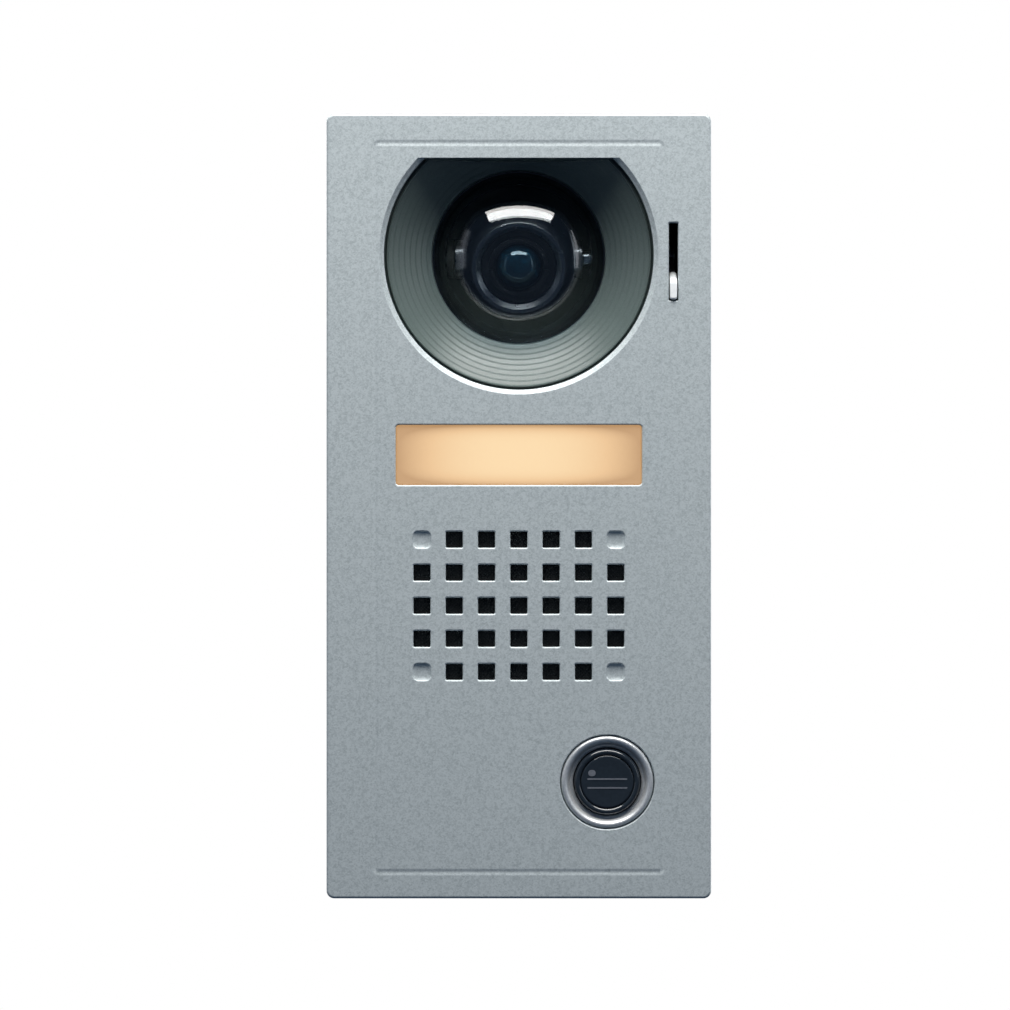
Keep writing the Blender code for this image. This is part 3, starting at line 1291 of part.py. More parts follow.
def button_spring():
    """A compression spring round the stem, from under the cap to the switch's board."""
    start = CAP_Y + CAP_CEILING + GAP + SPRING_WIRE / 2
    end = SWITCH_BOARD_Y - GAP - SPRING_WIRE / 2
    steps = 14 * SPRING_TURNS
    points = []
    for i in range(steps + 1):
        share = i / steps
        angle = 2 * math.pi * SPRING_TURNS * share
        x = BUTTON_X + SPRING_RADIUS * math.cos(angle)
        z = BUTTON_Z + SPRING_RADIUS * math.sin(angle)
        points.append(Vector((x, start + (end - start) * share, z)))
    shape = bmesh.new()
    tube(shape, points, SPRING_WIRE / 2, 5)
    piece("button_spring", shape, (0.6, 0.6, 0.6), 0.3, 1.0)


def switch_and_board():
    half_x = SWITCH_POST_X + SWITCH_POST_RADIUS
    rear = SWITCH_BOARD_Y + SWITCH_BOARD_THICKNESS
    centre = (BUTTON_X, 0, BUTTON_Z)
    shape = bmesh.new()
    prism(shape, rectangle(half_x, SWITCH_BOARD_HEIGHT / 2), SWITCH_BOARD_Y, rear, centre)
    board = piece("switch_board", shape, (0.03, 0.18, 0.08), 0.5)
    holes = bmesh.new()
    for x, z in SWITCH_POSTS:
        cylinder(holes, SWITCH_PEG_RADIUS + GAP, SWITCH_BOARD_Y - OVERRUN, rear + OVERRUN, (x, 0, z))
    cut(board, holes)
    foot = SWITCH_BOARD_Y - GAP
    body_front = foot - SWITCH_HEIGHT
    body = bmesh.new()
    half = SWITCH_SIDE / 2
    prism(body, rectangle(half, half), body_front, foot, centre)
    switch = piece("call_switch", body, (0.08, 0.08, 0.08), 0.5)
    plunger = bmesh.new()
    cylinder(plunger, SWITCH_PLUNGER_RADIUS, body_front - SWITCH_PLUNGER_HEIGHT, body_front + BITE, centre)
    join(switch, plunger)


def call_button():
    button_bezel()
    button_nut()
    press = axis_marker("call_button_axis", (BUTTON_X, CAP_Y, BUTTON_Z))
    button_cap(press)
    button_icon(press)
    button_spring()
    switch_and_board()


# ---------------------------------------------------------------- electronics


def main_board():
    shape = bmesh.new()
    low = (-BOARD_HALF_WIDTH, BOARD_Y, BOARD_BOTTOM)
    high = (BOARD_HALF_WIDTH, BOARD_REAR_Y, BOARD_TOP)
    block(shape, low, high)
    board = piece("main_board", shape, (0.03, 0.18, 0.08), 0.5)
    holes = bmesh.new()
    for x, z in BOARD_SCREWS:
        cylinder(holes, SCREW_RADIUS + GAP, BOARD_Y - OVERRUN, BOARD_REAR_Y + OVERRUN, (x, 0, z))
    cut(board, holes)


def board_parts():
    seat = BOARD_Y - GAP
    half = PROCESSOR_SIDE / 2
    chip = bmesh.new()
    prism(chip, rectangle(half, half), seat - PROCESSOR_THICKNESS, seat, (0, 0, BUTTON_Z))
    piece("main_processor", chip, (0.02, 0.02, 0.02), 0.4)
    wide, deep, tall = TRANSFORMER_SIZE
    coil = bmesh.new()
    low = (MIC_X - wide / 2, seat - deep, BUTTON_Z - tall / 2)
    block(coil, low, (MIC_X + wide / 2, seat, BUTTON_Z + tall / 2))
    piece("audio_transformer", coil, (0.10, 0.07, 0.04), 0.6)


def terminal_block():
    """Two screw terminals on the back of the main board, which reach out through the rear cover."""
    wide, deep, tall = TERMINAL_SIZE
    front = BOARD_REAR_Y + GAP
    rear = front + deep
    bottom = ENTRY_CENTRE_Z - tall / 2
    shape = bmesh.new()
    block(shape, (-wide / 2, front, bottom), (wide / 2, rear, bottom + tall))
    terminal = piece("terminal_block", shape, (0.02, 0.12, 0.06), 0.45)
    wells = bmesh.new()
    wires = bmesh.new()
    well_floor = rear - TERMINAL_WELL_DEPTH
    wire_rear = well_floor - 2 * GAP
    for side in (-1, 1):
        x = side * TERMINAL_SPACING / 2
        profile = [(0, rear + OVERRUN), (TERMINAL_WELL_RADIUS + GAP, rear + OVERRUN)]
        profile += [(TERMINAL_WELL_RADIUS + GAP, well_floor), (SCREW_RADIUS + GAP, well_floor)]
        profile += [(SCREW_RADIUS + GAP, wire_rear - WIRE_HOLE / 2), (0, wire_rear - WIRE_HOLE / 2)]
        turned(wells, profile, (x, 0, ENTRY_CENTRE_Z), sides=SMALL_ROUND)
        low = (x - WIRE_HOLE / 2, wire_rear - WIRE_HOLE + GAP, bottom - OVERRUN)
        block(wires, low, (x + WIRE_HOLE / 2, wire_rear, ENTRY_CENTRE_Z + WIRE_HOLE / 2))
    cut(terminal, wells)
    cut(terminal, wires)
    head = (TERMINAL_WELL_RADIUS - GAP, SCREW_HEAD_HEIGHT)
    for number, side in enumerate((-1, 1), 1):
        seat = (side * TERMINAL_SPACING / 2, well_floor + GAP, ENTRY_CENTRE_Z)
        screw(f"terminal_screw_{number}", seat, head=head, length=TERMINAL_SCREW_LENGTH)


def microphone():
    """A round capsule in a rubber boot that stands over the hole in the bottom wall."""
    centre = (MIC_X, FACE_Y + MIC_BEHIND_FACE, 0)
    foot = -INNER_Z + GAP
    cavity = foot + BOOT_WALL
    inner = MIC_RADIUS + GAP
    outer = inner + BOOT_WALL
    top = cavity + GAP + MIC_LENGTH + GAP
    boot = bmesh.new()
    profile = [(MIC_PORT_RADIUS, foot), (outer, foot), (outer, top), (inner, top)]
    profile += [(inner, cavity), (MIC_PORT_RADIUS, cavity)]
    turned(boot, profile, centre, "Z", 24)
    piece("microphone_boot", boot, (0.03, 0.03, 0.03), 0.8)
    capsule = bmesh.new()
    cylinder(capsule, MIC_RADIUS, cavity + GAP, cavity + GAP + MIC_LENGTH, centre, "Z", 24)
    piece("microphone", capsule, (0.6, 0.6, 0.6), 0.35, 1.0)


# ---------------------------------------------------------------- back


def rear_cover():
    """Closes the housing. It is open for the terminals, the bracket's hooks and its bottom tab."""
    rear = COVER_Y + COVER_THICKNESS
    front_cut = COVER_Y - OVERRUN
    rear_cut = rear + OVERRUN
    shape = bmesh.new()
    outline = rounded_rectangle(INNER_X - GAP, INNER_Z - GAP, CORNER_RADIUS / 2, 2)
    prism(shape, outline, COVER_Y, rear)
    cover = piece("rear_cover", shape, (0.05, 0.05, 0.055), 0.6)
    holes = bmesh.new()
    for x, z in COVER_SCREWS:
        cylinder(holes, SCREW_RADIUS + GAP, front_cut, rear_cut, (x, 0, z))
    half_x = TERMINAL_SIZE[0] / 2 + COVER_OPENING_MARGIN
    half_z = TERMINAL_SIZE[2] / 2 + COVER_OPENING_MARGIN
    prism(holes, rectangle(half_x, half_z), front_cut, rear_cut, (0, 0, ENTRY_CENTRE_Z))
    hook_z = BRACKET_HALF_Z - HOOK_BELOW_TOP
    for side in (-1, 1):
        x = side * HOOK_X
        low = (x - HOOK_WIDTH / 2 - 2 * GAP, front_cut, hook_z - 2 * GAP)
        high = (x + HOOK_WIDTH / 2 + 2 * GAP, rear_cut, hook_z + BRACKET_THICKNESS + HOOK_NIB + 2 * GAP)
        block(holes, low, high)
    notch = TAB_WIDTH / 2 + TAB_ROOM
    notch_top = SECURITY_TIP_Z + TAB_ROOM / 2
    block(holes, (-notch, front_cut, -HEIGHT / 2), (notch, rear_cut, notch_top))
    cut(cover, holes)


def perimeter_gasket():
    """A foam strip that seals the housing's rim to the wall."""
    sections = []
    for inset, y in ((0, 0), (0, -GASKET_THICKNESS), (GASKET_WIDTH, -GASKET_THICKNESS), (GASKET_WIDTH, 0)):
        edge = GASKET_INSET + inset
        outline = rounded_rectangle(WIDTH / 2 - edge, HEIGHT / 2 - edge, CORNER_RADIUS / 2, 3)
        sections.append((outline, y))
    shape = bmesh.new()
    loft(shape, sections, closed=True)
    piece("perimeter_gasket", shape, (0.03, 0.03, 0.03), 0.9)


def bracket_slots():
    """Where the wall screws go: two for a single wall box, and one near each corner."""
    corner_x = BRACKET_HALF_X - CORNER_SLOT_INSET
    corner_z = BRACKET_HALF_Z - CORNER_SLOT_INSET
    places = [(0, BOX_SLOT_Z), (0, -BOX_SLOT_Z)]
    places += [(side * corner_x, end * corner_z) for side in (-1, 1) for end in (-1, 1)]
    return places


def wall_bracket():
    """A folded steel plate: two hooks at the top hold the unit, and a tab below takes its screw."""
    shape = bmesh.new()
    outline = rounded_rectangle(BRACKET_HALF_X, BRACKET_HALF_Z, BRACKET_CORNER, 3)
    prism(shape, outline, -BRACKET_THICKNESS, 0)
    bracket = piece("wall_bracket", shape, (0.6, 0.6, 0.61), 0.35, 1.0)

    holes = bmesh.new()
    entry = rounded_rectangle(ENTRY_WIDTH / 2, ENTRY_HEIGHT / 2, BRACKET_CORNER, 3)
    prism(holes, entry, -BRACKET_THICKNESS - OVERRUN, OVERRUN, (0, 0, ENTRY_CENTRE_Z))
    slot = rounded_rectangle(WALL_SLOT_LENGTH / 2, WALL_SLOT_WIDTH / 2, WALL_SLOT_WIDTH / 2 - GAP / 10, 4)
    for x, z in bracket_slots():
        prism(holes, slot, -BRACKET_THICKNESS - OVERRUN, OVERRUN, (x, 0, z))
    cut(bracket, holes)

    folds = bmesh.new()
    root = -BRACKET_THICKNESS / 2
    hook_z = BRACKET_HALF_Z - HOOK_BELOW_TOP
    for side in (-1, 1):
        outline = [
            (root, hook_z),
            (root, hook_z + BRACKET_THICKNESS),
            (BRACKET_THICKNESS - HOOK_REACH, hook_z + BRACKET_THICKNESS),
            (BRACKET_THICKNESS - HOOK_REACH, hook_z + BRACKET_THICKNESS + HOOK_NIB),
            (-HOOK_REACH, hook_z + BRACKET_THICKNESS + HOOK_NIB),
            (-HOOK_REACH, hook_z),
        ]
        prism(folds, outline, -HOOK_WIDTH / 2, HOOK_WIDTH / 2, (side * HOOK_X, 0, 0), "X")
    tab_low = -BRACKET_HALF_Z + BRACKET_THICKNESS / 10
    low = (-TAB_WIDTH / 2, -TAB_REACH, tab_low)
    high = (TAB_WIDTH / 2, root, tab_low + BRACKET_THICKNESS)
    block(folds, low, high)
    join(bracket, folds)

    thread = bmesh.new()
    below = tab_low - OVERRUN
    above = tab_low + BRACKET_THICKNESS + OVERRUN
    cylinder(thread, SECURITY_RADIUS + GAP, below, above, (0, -TAB_SCREW_Y, 0), "Z")
    cut(bracket, thread)


def main():
    for left_over in list(bpy.data.objects):
        bpy.data.objects.remove(left_over, do_unlink=True)
    front_housing()
    camera_module()
    nameplate()
    speaker()
    call_button()
    main_board()
    board_parts()
    terminal_block()
    microphone()
    rear_cover()
    perimeter_gasket()
    wall_bracket()
    screws()


main()
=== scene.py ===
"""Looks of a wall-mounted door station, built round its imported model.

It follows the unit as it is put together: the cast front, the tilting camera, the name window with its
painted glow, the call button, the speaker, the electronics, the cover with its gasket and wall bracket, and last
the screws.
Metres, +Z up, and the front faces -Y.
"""

import math

import json

import bmesh
import bpy
from mathutils import Matrix, Vector


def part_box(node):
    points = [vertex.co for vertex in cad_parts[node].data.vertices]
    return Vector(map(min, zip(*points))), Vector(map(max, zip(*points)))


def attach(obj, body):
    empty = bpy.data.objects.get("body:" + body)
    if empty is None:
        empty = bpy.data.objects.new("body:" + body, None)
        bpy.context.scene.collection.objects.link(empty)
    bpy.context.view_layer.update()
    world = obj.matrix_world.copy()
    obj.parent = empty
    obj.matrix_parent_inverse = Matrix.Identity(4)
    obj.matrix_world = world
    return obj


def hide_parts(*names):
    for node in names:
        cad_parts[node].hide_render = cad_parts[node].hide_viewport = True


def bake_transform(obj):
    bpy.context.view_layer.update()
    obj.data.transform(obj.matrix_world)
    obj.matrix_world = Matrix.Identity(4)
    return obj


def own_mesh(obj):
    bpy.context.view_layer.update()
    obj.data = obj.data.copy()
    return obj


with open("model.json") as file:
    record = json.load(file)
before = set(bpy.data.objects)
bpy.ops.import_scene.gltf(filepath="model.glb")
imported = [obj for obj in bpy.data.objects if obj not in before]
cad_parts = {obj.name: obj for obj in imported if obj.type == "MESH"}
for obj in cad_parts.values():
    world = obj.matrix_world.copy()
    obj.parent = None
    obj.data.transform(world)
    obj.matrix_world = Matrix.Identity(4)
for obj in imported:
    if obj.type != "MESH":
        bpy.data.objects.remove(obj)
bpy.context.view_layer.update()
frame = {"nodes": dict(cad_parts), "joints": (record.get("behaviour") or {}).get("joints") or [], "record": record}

# ---- Stage ---------------------------------------------------------------------------------------------
# The unit is seen square on, as a buyer sees it in a catalogue: a white room, a pale floor well below it,
# one wide softbox high in front, and four weaker lamps at the sides and behind it.

mm = 0.001
housing_low, housing_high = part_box("front_housing")
face_y = housing_low.y
view_distance = 1.2
view_span = 262.5 * mm  # how much of the face plane the picture takes in
view_centre = Vector((-3.6 * mm, face_y, 0.3 * mm))
floor_drop = 150 * mm
floor_half = 650 * mm


def linear(colour):
    """An sRGB hex colour as linear RGBA."""
    shares = [int(colour[i : i + 2], 16) / 255 for i in (1, 3, 5)]
    return (*[c / 12.92 if c < 0.04045 else ((c + 0.055) / 1.055) ** 2.4 for c in shares], 1)


def add(tree, kind, inputs=None, stops=(), **settings):
    """Adds a node with its settings, its inputs set or linked, and a ramp's stops as (place, hex colour)."""
    made = tree.nodes.new(kind)
    for name, value in settings.items():
        setattr(made, name, value)
    for name, value in (inputs or {}).items():
        if isinstance(value, bpy.types.NodeSocket):
            tree.links.new(value, made.inputs[name])
        else:
            made.inputs[name].default_value = value
    for number, (place, colour) in enumerate(stops):
        ramp = made.color_ramp.elements
        stop = ramp[number] if number < 2 else ramp.new(place)
        stop.position = place
        stop.color = linear(colour)
    return made


lens = bpy.data.cameras.new("view")
lens.sensor_width = 36
lens.lens = lens.sensor_width * view_distance / view_span
camera = bpy.data.objects.new("view", lens)
camera.location = view_centre - Vector((0, view_distance, 0))
camera.rotation_euler = (math.radians(90), 0, 0)
bpy.context.scene.collection.objects.link(camera)
bpy.context.scene.camera = camera
bpy.context.scene.view_settings.view_transform = "Standard"

upper = (0, face_y, 40 * mm)
origin = (0, 0, 0)
for name, place, target, size, watts, colour in (
    ("key_softbox", (0.012, -0.345, 0.686), upper, (0.88, 0.42), 12.0, "#fffdfa"),
    ("right_strip", (0.62, -0.28, 0.18), upper, (0.1, 0.42), 0.3, "#f4f8ff"),
    ("left_softbox", (-1.3, -0.5, 0.3), origin, (0.5, 0.9), 0.7, "#f1f6ff"),
    ("rear_softbox", (-0.7, 1.2, 0.7), origin, (0.9, 0.9), 22.0, "#ffffff"),
    ("rear_strip", (1.1, 0.7, 0.1), origin, (0.3, 0.9), 6.0, "#ffffff"),
):
    lamp = bpy.data.lights.new(name, "AREA")
    lamp.shape = "RECTANGLE"
    lamp.size, lamp.size_y = size
    lamp.energy = watts
    lamp.color = linear(colour)[:3]
    made = bpy.data.objects.new(name, lamp)
    made.location = place
    made.rotation_euler = (Vector(target) - Vector(place)).to_track_quat("-Z", "Y").to_euler()
    bpy.context.scene.collection.objects.link(made)

room = bpy.data.worlds.new("white_room")
room.use_nodes = True
bpy.context.scene.world = room
sight = add(room.node_tree, "ShaderNodeLightPath")
ambient = add(room.node_tree, "ShaderNodeMix", {"Factor": sight.outputs["Is Camera Ray"]}, data_type="RGBA")
ambient.inputs[6].default_value = (0.04, 0.062, 0.1, 1)
ambient.inputs[7].default_value = (1, 1, 1, 1)
room.node_tree.links.new(ambient.outputs[2], room.node_tree.nodes["Background"].inputs["Color"])

floor_shape = bmesh.new()
bmesh.ops.create_circle(floor_shape, cap_ends=True, radius=floor_half, segments=96)
floor_mesh = bpy.data.meshes.new("floor")
floor_shape.to_mesh(floor_mesh)
floor_shape.free()
floor_mesh.transform(Matrix.Translation((0, 0, housing_low.z - floor_drop)))
floor = bpy.data.objects.new("floor", floor_mesh)
floor.visible_diffuse = False  # so that the pale floor does not light the unit from below
floor.visible_glossy = False
floor.visible_transmission = False
bpy.context.scene.collection.objects.link(floor)
pale = bpy.data.materials.new("pale_floor")
pale.use_nodes = True
paint = pale.node_tree.nodes["Principled BSDF"].inputs
paint["Base Color"].default_value = linear("#eeeeec")
paint["Roughness"].default_value = 0.8
floor_mesh.materials.append(pale)

# ---- Front housing -------------------------------------------------------------------------------------
# One zinc die casting, 2.6 mm thick in front and 3 mm at the sides, with screw bosses cast inside. It is
# shot-blasted and sprayed with a silver-grey metallic lacquer, which leaves a fine speckle and soft edges.

GAP = 0.3 * mm
OVERRUN = 1 * mm
wall = 3 * mm
front_wall = 2.6 * mm
edge_radius = 0.7 * mm
corner_radius = 2 * mm
mouth_radius = 0.45 * mm  # the lacquer's soft edge round each opening
inside_y = face_y + front_wall
rim_y = housing_high.y
half_width = housing_high.x
half_height = housing_high.z


def middle(node):
    """The middle of a CAD node's box."""
    low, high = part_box(node)
    return (low + high) / 2


def half_size(node):
    low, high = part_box(node)
    return (high - low) / 2


def circle(radius, sides=96):
    turn = 2 * math.pi / sides
    return [(radius * math.cos(i * turn), radius * math.sin(i * turn)) for i in range(sides)]


def rounded(half_a, half_b, radius, steps=8):
    """A rectangle with round corners, anticlockwise from its right side."""
    points = []
    for quarter, (side, end) in enumerate(((1, 1), (-1, 1), (-1, -1), (1, -1))):
        for step in range(steps + 1):
            angle = math.pi / 2 * (quarter + step / steps)
            a = side * (half_a - radius) + radius * math.cos(angle)
            b = end * (half_b - radius) + radius * math.sin(angle)
            points.append((a, b))
    return points


def softened(points, radius, steps=3, loop=True):
    """Rounds the corners of an outline, apart from points on its own axis and the ends of an open one."""
    soft = []
    count = len(points)
    for i, point in enumerate(points):
        here, before, after = (Vector(points[j % count]) for j in (i, i - 1, i + 1))
        ends = not loop and i in (0, count - 1)
        if ends or here[0] == 0:
            soft.append(here)
            continue
        back, ahead = before - here, after - here
        reach = min(radius, back.length * 0.45, ahead.length * 0.45)
        start, end = here + back.normalized() * reach, here + ahead.normalized() * reach
        for step in range(steps + 1):
            t = step / steps
            soft.append(start * (1 - t) ** 2 + here * (2 * t * (1 - t)) + end * t**2)
    return soft


def at(a, b, along, centre, axis):
    """A point a and b across an axis and along it, from a centre."""
    offset = {"X": (along, a, b), "Y": (a, along, b), "Z": (a, b, along)}[axis]
    return Vector(centre) + Vector(offset)


def skin(shape, rings, loop=False):
    """Faces between rings of points. The ends are closed, unless the last ring meets the first."""
    rows = [[shape.verts.new(point) for point in ring] for ring in rings]
    if loop:
        rows.append(rows[0])
    for row in () if loop else (rows[0], rows[-1]):
        if len(row) > 2:
            shape.faces.new(row)
    for first, second in zip(rows, rows[1:]):
        count = max(len(first), len(second))
        for i in range(count):
            j = (i + 1) % count
            corners = [first[i % len(first)], first[j % len(first)]]
            corners += [second[j % len(second)], second[i % len(second)]]
            unique = list(dict.fromkeys(corners))
            if len(unique) > 2:
                shape.faces.new(unique)


def loft(sections, centre=(0, 0, 0), axis="Y", loop=False):
    """Joins outlines, each given with its place along the axis."""
    shape = bmesh.new()
    skin(shape, [[at(a, b, along, centre, axis) for a, b in outline] for outline, along in sections], loop)
    return shape


def lathe(profile, centre=(0, 0, 0), axis="Y", sides=96, shape=None):
    """Turns a closed profile of (radius, place along it) about an axis, in a new shape or the one given."""
    shape = shape or bmesh.new()
    rings = []
    for radius, along in profile:
        outline = circle(radius, sides) if radius > 0 else [(0, 0)]
        rings.append([at(a, b, along, centre, axis) for a, b in outline])
    skin(shape, rings, loop=True)
    return shape


def box(low, high):
    """A box between two corners."""
    centre = [(a + b) / 2 for a, b in zip(low, high)]
    half = [(b - a) / 2 for a, b in zip(low, high)]
    outline = [(half[0], half[2]), (-half[0], half[2]), (-half[0], -half[2]), (half[0], -half[2])]
    return loft([(outline, -half[1]), (outline, half[1])], centre)


def as_object(name, shape):
    bmesh.ops.remove_doubles(shape, verts=shape.verts, dist=1e-7)
    bmesh.ops.recalc_face_normals(shape, faces=shape.faces)
    mesh = bpy.data.meshes.new(name)
    shape.to_mesh(mesh)
    shape.free()
    made = bpy.data.objects.new(name, mesh)
    bpy.context.scene.collection.objects.link(made)
    return made


def applied(made):
    """Turns an object's modifiers into its mesh."""
    graph = bpy.context.evaluated_depsgraph_get()
    mesh = bpy.data.meshes.new_from_object(made.evaluated_get(graph))
    made.modifiers.clear()
    made.data = mesh
    return made


def combine(made, tool, operation="DIFFERENCE"):
    """Cuts a shape or an object from a piece, or joins it on."""
    if isinstance(tool, bmesh.types.BMesh):
        tool = as_object("tool", tool)
    boolean = made.modifiers.new("shape", "BOOLEAN")
    boolean.operation = operation
    boolean.solver = "EXACT"
    boolean.object = tool
    applied(made)
    bpy.data.objects.remove(tool)
    return made


def eased(made, width, segments=2, angle=40):
    """Rounds a piece's sharp edges."""
    bevel = made.modifiers.new("edges", "BEVEL")
    bevel.width = width
    bevel.segments = segments
    bevel.limit_method = "ANGLE"
    bevel.angle_limit = math.radians(angle)
    return applied(made)


bodies = {node: body for body, nodes in frame["record"]["behaviour"]["bodies"].items() for node in nodes}


def finished(made, material, *nodes, place=None, crease=40, body=None, slot=None):
    """Gives a piece its place, material, smooth shading and body, and stands it for its CAD nodes."""
    if place is not None:
        made.data.transform(place)
    made.data.materials.clear()
    made.data.materials.append(material)
    made.data.shade_smooth()
    made.data.set_sharp_from_angle(angle=math.radians(crease))
    weighted = made.modifiers.new("normals", "WEIGHTED_NORMAL")
    weighted.keep_sharp = True
    applied(made)
    if isinstance(body, tuple):
        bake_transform(made)
    else:
        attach(made, body or bodies[nodes[0]])
    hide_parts(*nodes)
    return made


def start_material(name, roughness, metallic=0.0, **sockets):
    """A material whose constant values sit on its shader. Returns it with its tree, shader and place."""
    material = bpy.data.materials.new(name)
    material.use_nodes = True
    tree = material.node_tree
    shader = tree.nodes["Principled BSDF"]
    shader.inputs["Roughness"].default_value = roughness
    shader.inputs["Metallic"].default_value = metallic
    for socket, value in sockets.items():
        shader.inputs[socket.replace("_", " ")].default_value = value
    place = add(tree, "ShaderNodeTexCoord").outputs["Object"]
    return material, tree, shader, place


def tinted(tree, shader, value, stops, relief=0.0, strength=0.5, height=None):
    """Colours a surface by a value through a ramp. The value, or a height of its own, raises it."""
    colour = add(tree, "ShaderNodeValToRGB", {"Fac": value}, stops=stops)
    tree.links.new(colour.outputs["Color"], shader.inputs["Base Color"])
    if relief:
        terms = {"Height": height or value, "Distance": relief, "Strength": strength}
        tree.links.new(add(tree, "ShaderNodeBump", terms).outputs["Normal"], shader.inputs["Normal"])


def silver_lacquer():
    """Sprayed metallic lacquer on a blasted casting: a pale speckle of aluminium flakes in a cool grey."""
    flake = 0.34 * mm  # real flakes are some 0.05 mm: drawn coarser, so that they show
    cloud, cloud_share = 1.1 * mm, 0.6
    peel, peel_share = 0.6 * mm, 0.35
    sheen = {"Coat_Weight": 0.12, "Coat_Roughness": 0.25}
    material, tree, shader, place = start_material("metallic_lacquer", 0.45, 0.2, **sheen)
    cells = add(tree, "ShaderNodeTexVoronoi", {"Vector": place, "Scale": 1 / flake})
    single = add(tree, "ShaderNodeSeparateColor", {"Color": cells.outputs["Color"]})
    mixed = []
    for channel, (size, share, detail) in enumerate(((cloud, cloud_share, 4.0), (peel, peel_share, 3.0))):
        noise = add(tree, "ShaderNodeTexNoise", {"Vector": place, "Scale": 1 / size, "Detail": detail})
        terms = {0: single.outputs[channel], 1: share, 2: noise.outputs[0]}
        mixed.append(add(tree, "ShaderNodeMath", terms, operation="MULTIPLY_ADD").outputs[0])
    tinted(tree, shader, mixed[0], ((0.3, "#abb5b7"), (1.0, "#cad3d5")), 0.012 * mm, 0.5, mixed[1])
    return material


def quarter(radius, steps):
    """A rounded edge, as steps of how far it lies inside its side and behind its face."""
    angles = [math.pi / 2 * step / steps for step in range(steps + 1)]
    return [(radius * (1 - math.sin(angle)), radius * (1 - math.cos(angle))) for angle in angles]


def mouth(half_a, half_b, corner, floor):
    """The sections of a cutter whose opening has the lacquer's soft edge."""
    wide = mouth_radius
    sections = [(rounded(half_a + wide, half_b + wide, corner + wide), face_y - OVERRUN)]
    for grow, depth in quarter(mouth_radius, 4):
        sections.append((rounded(half_a + grow, half_b + grow, corner + grow), face_y + depth))
    return sections + [(rounded(half_a, half_b, corner), floor)]


# The shell, and the bosses that stand on the back of its front wall
sections = []
for inset, depth in quarter(edge_radius, 6):
    outline = rounded(half_width - inset, half_height - inset, corner_radius - inset)
    sections.append((outline, face_y + depth))
sections.append((rounded(half_width, half_height, corner_radius), rim_y))
housing = as_object("front_housing_cast", loft(sections))
inner_outline = rounded(half_width - wall, half_height - wall, corner_radius / 2, 4)
combine(housing, loft([(inner_outline, inside_y), (inner_outline, rim_y + OVERRUN)]))

boss_radius = 3.2 * mm
peg_radius = 1.4 * mm
peg_length = 2.6 * mm
screw_bore = 1.5 * mm
screw_depth = 9 * mm
boss_tops = {
    "rear_cover_screw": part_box("rear_cover")[0].y,
    "cradle_screw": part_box("camera_cradle")[0].y,
    "board_screw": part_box("main_board")[0].y,
    "clamp_screw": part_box("speaker_clamp")[0].y,
}
screw_nodes = {kind: [n for n in sorted(frame["nodes"]) if n.startswith(kind)] for kind in boss_tops}
bosses = bmesh.new()
bores = bmesh.new()
for kind, top in boss_tops.items():
    for node in screw_nodes[kind]:
        centre = (middle(node).x, 0, middle(node).z)
        foot = boss_radius * 1.35  # the casting's fillet where a boss meets the wall
        profile = [(0, inside_y - GAP), (foot, inside_y - GAP), (boss_radius, inside_y + 1.2 * mm)]
        profile += [(boss_radius, top - GAP), (0, top - GAP)]
        lathe(softened(profile, 0.5 * mm), centre, sides=32, shape=bosses)
        bore = [(0, top - screw_depth), (screw_bore, top - screw_depth), (screw_bore, top + OVERRUN)]
        lathe(bore + [(0, top + OVERRUN)], centre, sides=24, shape=bores)
pegs = []  # place across, place up, seat, radius below the seat and above it
for node in screw_nodes["cradle_screw"]:
    pegs.append((-middle(node).x, middle(node).z, boss_tops["cradle_screw"], boss_radius, peg_radius))
switch_board_low, switch_board_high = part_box("switch_board")
button_place = middle("button_bezel")
post_inset = 3.2 * mm
for x in (switch_board_low.x + post_inset, switch_board_high.x - post_inset):
    pegs.append((x, button_place.z, switch_board_low.y, 2.2 * mm, 1.2 * mm))
for x, z, seat, stout, thin in pegs:
    shoulder = seat - GAP
    profile = [(0, inside_y - GAP), (stout, inside_y - GAP), (stout, shoulder), (thin, shoulder)]
    profile += [(thin, shoulder + peg_length), (0, shoulder + peg_length)]
    lathe(softened(profile, 0.25 * mm), (x, 0, z), sides=32, shape=bosses)
combine(housing, bosses, "UNION")
combine(housing, bores)

# The camera's opening: a circle with a level top, and a bright 45 degree chamfer round it
dome_place = middle("dome_gasket")
camera_z = dome_place.z
opening_radius = 35.1 * mm
opening_flat = 25.2 * mm
chamfer = 1.0 * mm
lip = 0.35 * mm
slope = [(chamfer + lip, -OVERRUN), (chamfer + lip, 0), (chamfer + lip * 0.3, lip * 0.3)]
slope += [(chamfer - lip, 2 * lip), (lip, chamfer), (lip * 0.3, chamfer + lip * 0.4)]
slope += [(0, chamfer + lip * 1.2), (0, front_wall + OVERRUN)]
sections = []
for grow, depth in slope:
    radius = opening_radius + grow
    start = math.asin(opening_flat / radius)
    sweep = math.pi + 2 * start
    turns = [start - sweep * i / 128 for i in range(129)]
    sections.append(([(radius * math.cos(a), radius * math.sin(a)) for a in turns], face_y + depth))
combine(housing, loft(sections, (0, 0, camera_z)))

# The name window, the slot of the tilt lever and the counterbore of the call button
window_place = middle("nameplate_window")
window_half_x = 32 * mm
window_half_z = 7.8 * mm
window_corner = 0.8 * mm
window_sections = mouth(window_half_x, window_half_z, window_corner, inside_y + OVERRUN)
combine(housing, loft(window_sections, (window_place.x, 0, window_place.z)))

